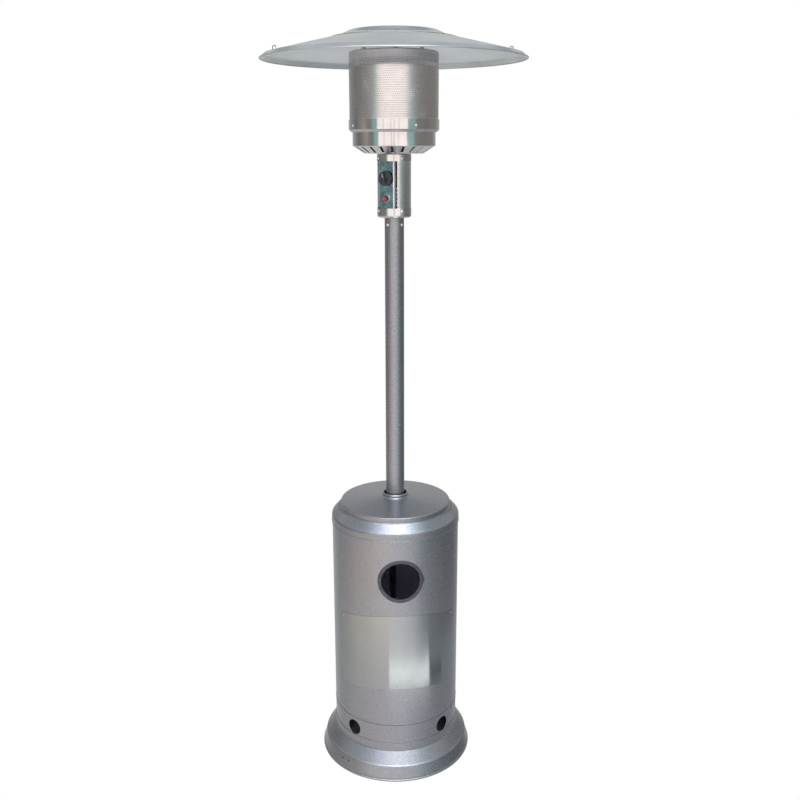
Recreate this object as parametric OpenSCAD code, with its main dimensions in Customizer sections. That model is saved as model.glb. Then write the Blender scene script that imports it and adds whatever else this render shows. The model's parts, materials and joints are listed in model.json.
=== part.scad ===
// Free-standing gas patio heater: round base, bottle housing, post, control head, emitter and reflector.
// Millimetres. +Z is up, the origin is on the floor under the middle of the post, and -Y is the front.

/* [Base] */
// Outer diameter of the rolled lip that stands on the floor
base_d = 484; // [460:1:560]
// Height of the drum's top edge, where the housing rests
drum_h = 173; // [165:1:220]
// Height of the top edge of the skirt's collar
collar_h = 110; // [98:1:110]
// Height of the collar, down to where the skirt slopes out
collar_drop = 25; // [16:1:30]
// Height of the break between the skirt's slope and its lower band
break_h = 52; // [44:1:58]
// Diameter of the skirt at that break
break_d = 463; // [440:1:470]
// Diameter of the rolled wire bead in the lip
lip_wire_d = 8; // [6:0.5:9]
// Diameter of each vent hole in the drum
vent_d = 50; // [30:1:50]
// Height of the vents' middle
vent_z = 136; // [136:0.5:138]

/* [Housing] */
// Outer diameter of the housing and of the drum
housing_d = 397; // [380:1:410]
// Height of the housing's cylinder
housing_h = 627; // [590:1:720]
// Turn of the housing's round opening from the front, in degrees
opening_turn = 1.6; // [-10:0.2:10]
// Clear diameter of the round hand opening
opening_d = 117; // [90:1:120]
// Depth of the opening's middle below the housing's top edge
opening_down = 136; // [130:1:150]
// Width of the edging round the opening
edging_w = 11; // [8:0.5:13]
// Turn that the front plate covers, in degrees
plate_turn = 122; // [90:1:140]
// Height of the front plate at its middle
plate_h = 248; // [180:1:255]
// Depth of the plate's upper edge below the opening's middle
plate_down = 114; // [100:1:135]
// Rise of the plate's arched top edge
plate_arch_top = 29; // [10:1:40]
// Rise of the plate's arched bottom edge
plate_arch_low = 22; // [10:1:40]

/* [Cover] */
// Depth of the cover's skirt below the housing's top edge
cover_lap = 8; // [5:1:15]
// Height of the sloping shoulder
shoulder_h = 38; // [34:1:42]
// Width of the sloping shoulder
shoulder_w = 21; // [18:0.5:22]
// Radius of the bend between the shoulder and the cover's side
shoulder_round = 14; // [10:1:16]
// Diameter of the raised lid's side wall
lid_d = 341; // [335:1:343]
// Height of the lid's rim above the housing's top edge
lid_rim_up = 57; // [54:1:65]
// Rise of the lid's shallow cone
lid_rise = 11; // [6:1:20]
// Height of the neck round the post
neck_h = 12; // [9:1:18]
// Inner diameter of the neck
neck_d = 70; // [66:1:76]

/* [Post] */
// Outer diameter of the post
post_d = 57; // [50:1:58]
// Wall of the post
post_wall = 1.5; // [1:0.1:2.5]
// Length of the post
post_l = 1023; // [980:1:1150]
// Depth of the post's foot below the housing's top edge
post_foot_drop = 95; // [85:1:120]
// Diameter of the tubes that carry the post
leg_d = 20; // [16:1:22]

/* [Control head] */
// Outer diameter of the cups at both ends of the control sleeve
cup_d = 99.2; // [96:0.2:106]
// Height of the straight wall of the lower cup
low_cup_wall = 20; // [15:1:26]
// Height of the sleeve that shows between the cups
sleeve_show = 131.5; // [125:0.5:150]
// Height of the upper cup
top_cup_h = 20.5; // [16:0.5:26]
// Turn of the control panel from the front, in degrees
head_turn = -35; // [-60:1:60]
// Width of the flat control panel
panel_w = 49.4; // [48:0.2:54]
// Half of the angle left open in the sleeve for the panel, in degrees
window_half_turn = 42.6; // [38:0.2:46]
// Diameter of the control knob
knob_d = 43; // [38:0.5:46]
// Height of the knob's middle above the lower cup
knob_up = 83.5; // [78:0.5:90]
// Height of the igniter's middle above the lower cup
igniter_up = 27.8; // [24:0.2:32]
// Diameter of the igniter's push button
button_d = 11; // [8:0.5:12]
// Travel of the knob when it is pushed in
knob_push = 3; // [2:0.5:3.5]
// Travel of the igniter's button
button_push = 6; // [4:0.5:6.5]

/* [Emitter] */
// Diameter of the flat underside of the louvre dish
dish_low_d = 168; // [140:1:185]
// Height of the louvre dish
dish_h = 21.5; // [16:0.5:30]
// Number of air slots in the louvre dish
slot_count = 22; // [12:1:26]
// Width of each air slot
slot_w = 7.5; // [4:0.5:9]
// Outer diameter of the lower polished band
low_band_d = 237; // [225:1:245]
// Height of the lower polished band
low_band_h = 37; // [36:1:50]
// Height of the step between the two bands
step_h = 7.5; // [5:0.5:10]
// Outer diameter of the upper polished band
top_band_d = 258; // [252:1:266]
// Height of the upper polished band
top_band_h = 27; // [24:1:36]
// Height of the emitter screen above the upper band
screen_show = 182; // [150:1:220]
// Diameter of the burner
burner_d = 104; // [80:1:110]
// Height of the burner
burner_h = 92; // [80:1:120]

/* [Reflector] */
// Outer diameter of the reflector
reflector_d = 750; // [690:1:820]
// Height of the crown's edge above the emitter screen
crown_up = 55; // [45:1:80]
// Diameter of the crown at the foot of its raised middle
crown_d = 264; // [250:1:275]
// Height of the crown's raised middle
crown_rise = 8; // [6:1:12]
// Outer diameter of the crown's sloping part
crown_skirt_d = 360; // [335:1:400]
// Fall of the reflector's cone for each unit of radius
cone_fall_share = 0.237; // [0.18:0.001:0.28]
// Width of the steeper flange at the reflector's edge
flange_w = 13.6; // [10:0.2:20]
// Fall of that flange
flange_fall = 11; // [6:0.5:15]
// Depth of the recess in the crown's top
crown_recess = 7; // [5:0.5:9]

/* [Sheet and fits] */
// Thickness of the painted steel sheet of the base and the cover
steel_t = 1.2; // [0.8:0.1:1.6]
// Thickness of the housing's sheet
housing_t = 1; // [0.7:0.1:1.4]
// Thickness of the stainless sheet
stainless_t = 0.8; // [0.5:0.1:1]
// Thickness of the reflector's sheet
reflector_t = 1; // [0.6:0.1:1.4]
// Gap between pieces that are fixed together
fit_gap = 0.15; // [0.1:0.05:0.3]
// Gap round turning and sliding spindles
run_gap = 0.05; // [0.03:0.01:0.1]

/* [Hidden] */

$fn = 96;

// Angles and counts
turn = 360;
quarters = 4;
quarter_turn = turn / quarters;
arc_steps = 5;
hex_sides = 6;

// One overrun for every cut
cut = 1;

// Colours
hammertone = [0.60, 0.62, 0.66];
stainless = [0.72, 0.71, 0.70];
polished = [0.80, 0.78, 0.77];
aluminium = [0.69, 0.71, 0.72];
black = [0.08, 0.08, 0.09];
red = [0.75, 0.10, 0.12];
brass = [0.75, 0.60, 0.30];
zinc = [0.55, 0.55, 0.56];

// Bolts, screws and nuts
bolt_r = 3;
bolt_head_r = 5.5;
bolt_head_h = 4;
nut_r = 5.7;
nut_h = 3;
screw_r = 1.9;
screw_head_r = 3.6;
screw_top_r = 2.4;
screw_head_h = 1.6;
screw_l = 5;

// Base: the skirt, the board in its lip and the drum that stands on the board
base_r = base_d / 2;
drum_r = housing_d / 2;
lip_r = lip_wire_d / 2;
lip_set = 3.5;
lip_flat = 0.3;
band_low_r = base_r - lip_set;
board_t = 1.5;
board_z = lip_wire_d - lip_flat + fit_gap;
board_top = board_z + board_t;
board_gap = 0.5;
collar_r = drum_r + fit_gap + steel_t;
collar_foot = collar_h - collar_drop;
collar_step = 3;
break_round = 12;
break_from_turn = 55;
break_to_turn = 8;
drum_hem = 1;
drum_neck_in = 4.5;
drum_neck_h = 12;
drum_foot_w = 16;
drum_bolt_turn = quarter_turn / quarters;
anchor_d = 5;
anchor_turn = -47;
anchor_half_turn = 3.3;
anchor_z = 32;

// Housing and what it carries
housing_z = drum_h;
cover_z = housing_z + housing_h;
hem_w = 3.9;
opening_r = opening_d / 2;
opening_z = cover_z - opening_down;
edging_cover = 3;
edging_side = 2;
edging_point_turn = 20;
edging_split = 1.2;
plate_t = 0.6;
plate_half_w = drum_r * sin(plate_turn / 2);
plate_top = opening_z - plate_down;
plate_low = plate_top - plate_h;
rivet_r = 1.6;
rivet_head_r = 2.6;
rivet_head_h = 1.1;
rivet_inset = 11;
rivet_in_turn = 3.4;
rivet_side_turn = plate_turn / 2 - rivet_in_turn;
rivet_middle_turn = -2;

// Cover, from its skirt up to its neck
cover_r = drum_r + fit_gap + steel_t;
ledge_w = 3;
groove_w = 3;
groove_fall = 1.5;
bead_w = 4;
bead_h = 4;
lid_round = 4;
lid_round_turn = 85;
shoulder_low = 10;
shoulder_turn = slope_turn(shoulder_round - shoulder_w, shoulder_h - shoulder_low, shoulder_round);
bead_to_turn = 10;
lid_r = lid_d / 2;
neck_r = neck_d / 2;
neck_foot_w = 6;
neck_bulge = 3;

// Post, its holder and its legs
post_z = cover_z - post_foot_drop;
post_r = post_d / 2;
post_in_r = post_r - post_wall;
post_top = post_z + post_l;
post_screw_turn = 45;
post_screw_drop = 20;
foot_screw_up = 30;
leg_r = leg_d / 2;
leg_wall = 1.5;
leg_bend = 30;
leg_clear = 2.8;
leg_place = drum_r - drum_neck_in - steel_t - leg_clear - leg_r;
leg_foot_out = 10;
leg_foot_in = 18;
leg_foot_l = 50;
leg_foot_t = 3;
leg_bolt_out = 18;
leg_tab_w = 22;
leg_tab_t = 4;
leg_rear_turn = 180;
leg_side_turn = 72;
holder_plate_t = 4;
holder_plate_r = 62;
holder_wall = 2;
holder_h = 55;
holder_bolt_place = 46;
holder_bolt_l = 12;
leg_top = post_z - holder_plate_t - leg_r;

// Control head
cup_r = cup_d / 2;
cup_round = 8;
cup_rise = 3;
cup_round_turn = -65;
cup_neck_w = 4.5;
cup_z = post_top + cup_round;
sleeve_low = cup_z + low_cup_wall;
sleeve_top = sleeve_low + sleeve_show;
dish_z = sleeve_top + top_cup_h;
sleeve_r = cup_r - stainless_t - fit_gap;
spigot_r = post_in_r - fit_gap;
spigot_wall = 1.5;
spigot_drop = 45;
spigot_flange_w = 5.5;
spigot_flange_t = 1.5;
cup_screw_turn = drum_bolt_turn - head_turn;
cup_screw_in = 8;
head_port_r = 30;

// Control panel, and the marks on it
panel_t = 1;
panel_round = 3;
panel_return = 12;
panel_lap = 2;
panel_y = sqrt(pow(sleeve_r, 2) - pow(panel_w / 2, 2));
mark_t = 0.3;
dot_r = 1.7;
dot_up = 25.5;
arc_mark_r = 24;
arc_mark_w = 2.6;
arc_mark_from_turn = 290;
arc_mark_to_turn = 330;

// Knob, spindle, plunger and valve, along the panel's outward direction
knob_z = sleeve_low + knob_up;
knob_r = knob_d / 2;
knob_gap = knob_push + 1;
knob_disc_h = 8;
knob_chamfer = 1.5;
knob_step_r = 17.5;
knob_step_h = 2;
grip_w = 9;
grip_h = 6;
grip_turn = 12;
knob_socket = 9;
spindle_r = 3;
spindle_in = 22;
boss_r = 9;
plunger_r = 4;
plunger_l = 8;
plunger_gap = 0.3;
valve_w = 30;
valve_h = 46;
valve_front_gap = 3;
valve_back = 14;

// Igniter
igniter_z = sleeve_low + igniter_up;
nut_ring_r = 11.5;
nut_ring_h = 4;
barrel_r = 8.5;
barrel_out = 8;
barrel_in = 30;
barrel_floor = 3;
button_r = button_d / 2;
button_stop = 1;
button_out = barrel_out + button_push + button_stop;
button_flange_r = 6.7;
button_flange_h = 2;
button_tail = 3;

// Gas line and tilt switch
pipe_r = 5;
pipe_wall = 1;
inlet_r = 8;
inlet_hex_r = 12;
inlet_hex_h = 9;
inlet_l = 20;
inlet_nut_h = 5;
inlet_bore_r = 3;
switch_r = 9;
switch_h = 30;
switch_out = 18.5;
switch_up = 12;
clip_ring_w = 2;
clip_ring_h = 8;

// Burner and what lights it
tube_r = 15;
tube_wall = 1;
tube_floor = 2;
air_hole_r = 6;
injector_hex_r = 9;
injector_hex_h = 6;
injector_r = 6;
injector_l = 14;
injector_bore_r = 1;
burner_r = burner_d / 2;
port_rows = 4;
ports_round = 12;
port_r = 3;
port_from = 22;
port_step = 14;
tube_lap = 6;
tray_up = 30;
tray_lip_h = 8;
pilot_place = 64;
pilot_r = 5;
pilot_h = 34;
pilot_bore_r = 2;
probe_r = 1.6;
probe_place = 22;
probe_spread = 10;
lead_bend_r = 8;
lead_drop = 16;
probe_top_up = 30;
electrode_r = 2.5;
electrode_h = 26;
electrode_tip_r = 0.8;
electrode_tip_l = 9;

// Louvre dish, bands and screen
dish_low_r = dish_low_d / 2;
low_band_z = dish_z + dish_h;
low_band_r = low_band_d / 2;
dish_lip = 9;
slot_in = 4;
slot_turn = 10.5;
step_z = low_band_z + low_band_h;
step_in = 2;
step_flange = 4;
top_band_z = step_z + step_h;
top_band_r = top_band_d / 2;
screen_z = top_band_z + top_band_h;
screen_clear = 1.9;
screen_r = top_band_r - stainless_t - screen_clear;
screen_top_z = screen_z + screen_show;
screen_curl = 4;
screen_lip = 3;
tray_z = low_band_z + tray_up;
step_slope_share = step_h / (top_band_r - low_band_r - step_in);
screen_low = step_z + (screen_r - low_band_r - step_in) * step_slope_share
             + stainless_t * sqrt(1 + pow(step_slope_share, 2)) + fit_gap;
band_screw_up = 10;
band_screw_turn = -65;
band_screw_l = 2.4;
top_plate_t = 1;
top_plate_lip = 6;
top_plate_z = screen_top_z - stainless_t - fit_gap - top_plate_t;

// Reflector and its fixings
reflector_r = reflector_d / 2;
crown_z = screen_top_z + crown_up;
crown_r = crown_d / 2;
crown_skirt_r = crown_skirt_d / 2;
crown_wall_w = 7;
crown_edge = 6;
crown_dish_w = 5;
crown_top_r = crown_r - crown_wall_w;
crown_floor_r = crown_top_r - crown_edge - crown_dish_w;
crown_floor_z = crown_z - crown_recess;
cone_slope = atan(cone_fall_share);
skin_drop = (reflector_t + fit_gap) / cos(cone_slope);
crown_slope_w = crown_skirt_r - crown_r;
panel_lap_share = 0.76;
panel_inner_r = crown_skirt_r - crown_slope_w * panel_lap_share;
rim_bead_r = 2;
seam_gap = 0.3;
stud_r = 3;
stud_place = 96;
stud_count = 3;
stud_over = 4.5;
spacer_r = 6;
crown_screw_share = 0.4;
crown_screw_place = crown_skirt_r - crown_slope_w * crown_screw_share;
crown_screw_l = 4;
clip_inset = 17;
clip_place = reflector_r - flange_w - clip_inset;
clip_wire_r = 1;
clip_loop_r = 4;
clip_base_r = 3.5;
clip_base_h = 2;
clip_nut_h = 2.5;
clip_nut_r = 4;

// Functions for outlines

// Points on an ellipse of half axes p and q round [x, y], from angle a to angle b
function oval_arc(x, y, p, q, a, b, steps = arc_steps) =
    [for (i = [0:steps]) let (t = a + (b - a) * i / steps) [x + p * cos(t), y + q * sin(t)]];

function arc(x, y, r, a, b, steps = arc_steps) = oval_arc(x, y, r, r, a, b, steps);

// Turn at which a straight slope from the point x, y touches a circle of radius r round the origin
function slope_turn(x, y, r) = atan2(y, x) - acos(r / norm([x, y]));

function reversed(v) = [for (i = [len(v) - 1:-1:0]) v[i]];
function unit(v) = v / norm(v);
function right_of(a, b) = let (u = unit(b - a)) [u[1], -u[0]];

// A polyline's copy at distance t on its right-hand side
function beside(v, t) =
    [for (i = [0:len(v) - 1])
        let (last = len(v) - 1,
             before = right_of(v[max(i - 1, 0)], v[max(i, 1)]),
             after = right_of(v[min(i, last - 1)], v[min(i + 1, last)]),
             middle = unit(before + after))
        v[i] + middle * t / (middle * before)];

// Drop of an arched edge at distance x from its middle
function arch_drop(x, rise) =
    let (r = (pow(plate_half_w, 2) + pow(rise, 2)) / (2 * rise)) r - sqrt(pow(r, 2) - pow(x, 2));
function arch_radius(rise) = (pow(plate_half_w, 2) + pow(rise, 2)) / (2 * rise);

// Height of the crown's sloping surface, and of the panels' surface under it, at radius r
function crown_at(r) = crown_z - crown_rise - (r - crown_r) * cone_fall_share;
function cone_at(r) = crown_at(r) - skin_drop;

// Building blocks

// Sheet of thickness t, spun round the axis, lying on the right of the polyline v
module spun(v, t) rotate_extrude() polygon(concat(v, reversed(beside(v, t))));

module ring(r, wall, h) difference() {
    cylinder(r = r, h = h);
    translate([0, 0, -cut]) cylinder(r = r - wall, h = h + 2 * cut);
}

module at_angles(list) for (a = list) rotate([0, 0, a]) children();
function round_angles(count, first = 0) = [for (i = [0:count - 1]) first + turn * i / count];

// Children drawn along +Z point forward instead, from the axis, at height z
module facing_front(z) translate([0, 0, z]) rotate([90, 0, 0]) children();

// A block that holds everything within half an angle of the front
module front_sector(half, r, h)
    linear_extrude(h)
        polygon(concat([[0, 0]], arc(0, 0, r, -quarter_turn - half, half - quarter_turn, 2 * arc_steps)));

// A button-head screw that points at the axis, with its seat at radius r
module radial_screw(r, z, l = screw_l) facing_front(z) {
    translate([0, 0, r - l]) cylinder(r = screw_r, h = l + fit_gap);
    translate([0, 0, r + fit_gap]) cylinder(r1 = screw_head_r, r2 = screw_top_r, h = screw_head_h);
}

module radial_hole(r, hole_r, z, depth) facing_front(z)
    translate([0, 0, r - depth]) cylinder(r = hole_r, h = depth + 2 * steel_t);

module bolt(l) {
    cylinder(r = bolt_head_r, h = bolt_head_h, $fn = hex_sides);
    translate([0, 0, -l]) cylinder(r = bolt_r, h = l);
}

module hex_nut(r, hole_r, h) difference() {
    cylinder(r = r, h = h, $fn = hex_sides);
    translate([0, 0, -cut]) cylinder(r = hole_r, h = h + 2 * cut);
}

// Children placed on the control panel's face at height z, drawn along its outward direction
module on_panel(z) rotate([0, 0, head_turn]) translate([0, -panel_y, z]) rotate([90, 0, 0]) children();

// Children placed square on a cone's surface, in front, at radius r and height z
module on_slope(r, z) translate([0, -r, z]) rotate([cone_slope, 0, 0]) children();

// Base
skirt_line = concat(
    [[collar_r, collar_h], [collar_r, collar_foot],
     [collar_r + collar_step, collar_foot - collar_step / 2]],
    arc(break_d / 2 - break_round, break_h - break_round, break_round, break_from_turn, break_to_turn),
    [[band_low_r, lip_wire_d + lip_r], [band_low_r, lip_r]]);

module base_skirt() color(hammertone) difference() {
    union() {
        spun(skirt_line, steel_t);
        rotate_extrude() intersection() {
            translate([base_r - lip_r, lip_r - lip_flat]) circle(r = lip_r);
            square([base_r, lip_wire_d]);
        }
    }
    at_angles([anchor_turn - anchor_half_turn, anchor_turn + anchor_half_turn])
        radial_hole(base_r, anchor_d / 2, anchor_z, base_r - drum_r - drum_foot_w);
}

// Places of the bolts through the board: two in each leg's foot and four in the drum's foot
module leg_bolt_places() at_angles([leg_rear_turn, leg_side_turn, -leg_side_turn])
    for (side = [-1, 1]) translate([side * leg_bolt_out, -leg_place, 0]) children();
module drum_bolt_places() at_angles(round_angles(quarters, drum_bolt_turn))
    translate([0, -drum_r - drum_foot_w / 2, 0]) children();

module base_board() color(zinc) difference() {
    translate([0, 0, board_z]) cylinder(r = band_low_r - steel_t - board_gap, h = board_t);
    leg_bolt_places() cylinder(r = bolt_r + fit_gap, h = board_top + cut);
    drum_bolt_places() cylinder(r = bolt_r + fit_gap, h = board_top + cut);
}

module base_drum() color(hammertone) difference() {
    union() {
        translate([0, 0, board_top]) ring(drum_r, steel_t, drum_h - drum_hem - board_top);
        translate([0, 0, board_top]) ring(drum_r + drum_foot_w, drum_foot_w + steel_t, steel_t);
        translate([0, 0, drum_h - drum_hem]) rotate_extrude()
            polygon([[drum_r - drum_neck_in - steel_t, -drum_hem], [drum_r, -drum_hem], [drum_r, 0],
                     [drum_r - drum_hem, drum_hem], [drum_r - drum_neck_in - steel_t, drum_hem]]);
        translate([0, 0, drum_h - drum_hem]) ring(drum_r - drum_neck_in, steel_t, drum_neck_h + drum_hem);
    }
    at_angles(round_angles(quarters, turn / (2 * quarters)))
        radial_hole(drum_r, vent_d / 2, vent_z, drum_r / 2);
    drum_bolt_places() cylinder(r = bolt_r + fit_gap, h = board_top + bolt_head_h);
}

module base_bolts() color(zinc) {
    leg_bolt_places() {
        translate([0, 0, board_top + leg_foot_t]) bolt(leg_foot_t + board_t + nut_h + fit_gap);
        translate([0, 0, board_z - nut_h]) hex_nut(nut_r, bolt_r + fit_gap, nut_h);
    }
    drum_bolt_places() {
        translate([0, 0, board_top + steel_t]) bolt(steel_t + board_t + nut_h + fit_gap);
        translate([0, 0, board_z - nut_h]) hex_nut(nut_r, bolt_r + fit_gap, nut_h);
    }
}

// A leg in front: foot plate, upright tube, bend, and an arm with a flat tab under the holder
module leg() difference() {
    union() {
        translate([-leg_foot_l / 2, -leg_place - leg_foot_out, board_top])
            cube([leg_foot_l, leg_foot_out + leg_foot_in, leg_foot_t]);
        translate([0, -leg_place, board_top + leg_foot_t / 2])
            cylinder(r = leg_r, h = leg_top - leg_bend - board_top - leg_foot_t / 2);
        translate([0, leg_bend - leg_place, leg_top - leg_bend]) rotate([90, 0, -90])
            rotate_extrude(angle = 90) translate([leg_bend, 0]) circle(r = leg_r);
        translate([0, -holder_plate_r - leg_tab_t, leg_top]) rotate([90, 0, 0])
            cylinder(r = leg_r, h = leg_place - leg_bend - holder_plate_r - leg_tab_t);
        translate([-leg_tab_w / 2, -holder_plate_r - leg_d, leg_top + leg_r - leg_tab_t])
            cube([leg_tab_w, holder_plate_r + leg_d - post_r - holder_wall - leg_tab_t, leg_tab_t]);
    }
    translate([0, -leg_place, board_top - cut])
        cylinder(r = leg_r - leg_wall, h = leg_top - leg_bend - board_top);
    for (side = [-1, 1]) translate([side * leg_bolt_out, -leg_place, board_top - cut])
        cylinder(r = bolt_r + fit_gap, h = leg_foot_t + 2 * cut);
    translate([0, -holder_bolt_place, leg_top]) cylinder(r = bolt_r + fit_gap, h = leg_d);
}

module leg_rear() color(zinc) rotate([0, 0, leg_rear_turn]) leg();
module leg_right() color(zinc) rotate([0, 0, leg_side_turn]) leg();
module leg_left() color(zinc) rotate([0, 0, -leg_side_turn]) leg();

// Post
module holder_bolt_places() at_angles([leg_rear_turn, leg_side_turn, -leg_side_turn])
    translate([0, -holder_bolt_place, post_z]) children();

module foot_screw_holes(r, depth) at_angles(round_angles(quarters))
    radial_hole(r, screw_r + fit_gap, post_z + foot_screw_up, depth);
module head_screw_holes(r, depth) at_angles(round_angles(quarters, post_screw_turn))
    radial_hole(r, screw_r + fit_gap, post_top - post_screw_drop, depth);

module post_holder() color(zinc) difference() {
    union() {
        translate([0, 0, post_z - holder_plate_t]) cylinder(r = holder_plate_r, h = holder_plate_t);
        translate([0, 0, post_z]) ring(post_r + fit_gap + holder_wall, holder_wall, holder_h);
    }
    translate([0, 0, post_z - holder_plate_t - cut])
        cylinder(r = inlet_r + fit_gap, h = holder_plate_t + 2 * cut);
    holder_bolt_places() translate([0, 0, -holder_plate_t - cut])
        cylinder(r = bolt_r + fit_gap, h = holder_plate_t + 2 * cut);
    foot_screw_holes(post_r + holder_wall, post_r);
}

module holder_bolts() color(zinc) holder_bolt_places() {
    bolt(holder_bolt_l);
    translate([0, 0, -holder_plate_t - leg_tab_t - nut_h]) hex_nut(nut_r, bolt_r + fit_gap, nut_h);
}

module post() color(hammertone) difference() {
    translate([0, 0, post_z]) ring(post_r, post_wall, post_l);
    foot_screw_holes(post_r, post_r);
    head_screw_holes(post_r, post_r);
}

module post_foot_screws() color(zinc) at_angles(round_angles(quarters))
    radial_screw(post_r + fit_gap + holder_wall, post_z + foot_screw_up);

module post_head_screws() color(zinc) at_angles(round_angles(quarters, post_screw_turn))
    radial_screw(post_r, post_top - post_screw_drop);

// Housing
module in_opening() rotate([0, 0, opening_turn]) children();

module rivet_places() {
    for (side = [-1, 1]) let (a = side * rivet_side_turn, x = drum_r * sin(a)) rotate([0, 0, a]) {
        translate([0, 0, plate_top - rivet_inset - arch_drop(x, plate_arch_top)]) children();
        translate([0, 0, plate_low + rivet_inset - arch_drop(x, plate_arch_low)]) children();
    }
    rotate([0, 0, rivet_middle_turn]) {
        translate([0, 0, plate_top - rivet_inset]) children();
        translate([0, 0, plate_low + rivet_inset]) children();
    }
}

module housing() color(hammertone) difference() {
    union() {
        translate([0, 0, housing_z]) ring(drum_r, housing_t, housing_h);
        translate([0, 0, housing_z]) ring(drum_r, hem_w, housing_t);
    }
    in_opening() radial_hole(drum_r, opening_r + edging_cover, opening_z, drum_r / 2);
    rivet_places() radial_hole(drum_r, rivet_r + fit_gap, 0, drum_r / 2);
}

// The edging's outline, with its two ends drawn out to a point on the right
module edging_outline(r) {
    circle(r = r);
    corner = [r * cos(edging_point_turn), r * sin(edging_point_turn)];
    polygon([[0, 0], corner, [r / cos(edging_point_turn), 0], [corner[0], -corner[1]]]);
}

module opening_edging() color(black) in_opening() difference() {
    intersection() {
        facing_front(opening_z) linear_extrude(drum_r + edging_w) difference() {
            edging_outline(opening_r + edging_w);
            circle(r = opening_r);
            translate([0, -edging_split / 2]) square([drum_r, edging_split]);
        }
        translate([0, 0, opening_z - drum_r / 2])
            ring(drum_r + edging_side, housing_t + 2 * edging_side, drum_r);
    }
    difference() {
        translate([0, 0, opening_z - drum_r / 2])
            ring(drum_r + fit_gap, housing_t + 2 * fit_gap, drum_r);
        facing_front(opening_z) cylinder(r = opening_r + edging_cover - fit_gap, h = 2 * drum_r);
    }
}

module front_plate() color(stainless) difference() {
    intersection() {
        translate([0, 0, plate_low - plate_arch_low])
            ring(drum_r + fit_gap + plate_t, plate_t, plate_h + plate_arch_low);
        translate([0, 0, plate_low - plate_arch_low])
            front_sector(plate_turn / 2, 2 * drum_r, plate_h + plate_arch_low);
        facing_front(plate_top - arch_radius(plate_arch_top))
            cylinder(r = arch_radius(plate_arch_top), h = 2 * drum_r);
    }
    facing_front(plate_low - arch_radius(plate_arch_low))
        cylinder(r = arch_radius(plate_arch_low), h = 2 * drum_r);
    rivet_places() radial_hole(drum_r, rivet_r + fit_gap, 0, drum_r / 2);
}

module plate_rivets() color(zinc) rivet_places() facing_front(0) {
    translate([0, 0, drum_r - housing_t - rivet_head_h])
        cylinder(r = rivet_r, h = housing_t + rivet_head_h + 2 * plate_t);
    translate([0, 0, drum_r + 2 * fit_gap + plate_t])
        cylinder(r1 = rivet_head_r, r2 = rivet_r, h = rivet_head_h);
}

// Cover: neck, shallow cone, rim, bead, groove, sloping shoulder and skirt
cover_line = concat(
    [[neck_r + steel_t, cover_z + lid_rim_up + lid_rise + neck_h],
     [neck_r + steel_t + neck_bulge, cover_z + lid_rim_up + lid_rise + neck_h - neck_bulge],
     [neck_r + steel_t + neck_bulge, cover_z + lid_rim_up + lid_rise + neck_bulge],
     [neck_r + steel_t + neck_foot_w, cover_z + lid_rim_up + lid_rise]],
    arc(lid_r - lid_round, cover_z + lid_rim_up - lid_round, lid_round, lid_round_turn, 0),
    oval_arc(lid_r, cover_z + shoulder_h, bead_w, bead_h, quarter_turn, bead_to_turn),
    [[lid_r + bead_w + groove_w / 2, cover_z + shoulder_h - groove_fall]],
    [[cover_r - shoulder_w, cover_z + shoulder_h]],
    arc(cover_r - shoulder_round, cover_z + shoulder_low, shoulder_round, shoulder_turn, 0),
    [[cover_r, cover_z - cover_lap]]);

module housing_cover() color(hammertone) {
    spun(cover_line, steel_t);
    translate([0, 0, cover_z]) ring(cover_r - steel_t / 2, ledge_w, housing_t);
}

// Control head
low_cup_line = concat(
    [[cup_r, sleeve_low]],
    arc(cup_r - cup_round, cup_z, cup_round, 0, cup_round_turn),
    [[post_r + cup_neck_w, post_top], [spigot_r + fit_gap, post_top]]);
top_cup_line = [[head_port_r, dish_z], [cup_r - cup_rise, dish_z], [cup_r, dish_z - cup_rise],
                [cup_r, sleeve_top]];

module cup_screw_holes(z) rotate([0, 0, head_turn]) at_angles(round_angles(quarters, cup_screw_turn))
    radial_hole(cup_r, screw_r + fit_gap, z, cup_r / 2);

module lower_cup() color(polished) difference() {
    spun(low_cup_line, stainless_t);
    cup_screw_holes(sleeve_low - cup_screw_in);
}

module upper_cup() color(polished) difference() {
    spun(top_cup_line, stainless_t);
    cup_screw_holes(sleeve_top + cup_screw_in);
}

module head_spigot() color(zinc) difference() {
    union() {
        translate([0, 0, post_top - spigot_drop])
            ring(spigot_r, spigot_wall, spigot_drop + stainless_t + spigot_flange_t);
        translate([0, 0, post_top + stainless_t])
            ring(spigot_r + spigot_flange_w, spigot_flange_w + spigot_wall, spigot_flange_t);
    }
    head_screw_holes(post_r, post_r);
}

module control_sleeve() color(stainless) difference() {
    translate([0, 0, cup_z]) ring(sleeve_r, stainless_t, dish_z - cup_rise - stainless_t - cup_z);
    rotate([0, 0, head_turn]) translate([0, 0, cup_z - cut])
        front_sector(window_half_turn, 2 * cup_r, dish_z - cup_z);
    cup_screw_holes(sleeve_low - cup_screw_in);
    cup_screw_holes(sleeve_top + cup_screw_in);
}

module channel_outline(w, d, r) polygon(concat(
    arc(r - w / 2, r, r, 180, 270), arc(w / 2 - r, r, r, 270, 360), [[w / 2, d], [-w / 2, d]]));

module control_panel() color(polished) difference() {
    rotate([0, 0, head_turn]) translate([0, -panel_y, sleeve_low - panel_lap])
        linear_extrude(sleeve_show + 2 * panel_lap) difference() {
            channel_outline(panel_w, panel_return, panel_round);
            translate([0, panel_t])
                channel_outline(panel_w - 2 * panel_t, panel_return, panel_round - panel_t);
        }
    on_panel(knob_z) translate([0, 0, -panel_return])
        cylinder(r = boss_r + fit_gap, h = 2 * panel_return);
    on_panel(igniter_z) translate([0, 0, -panel_return])
        cylinder(r = barrel_r + fit_gap, h = 2 * panel_return);
}

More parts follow.
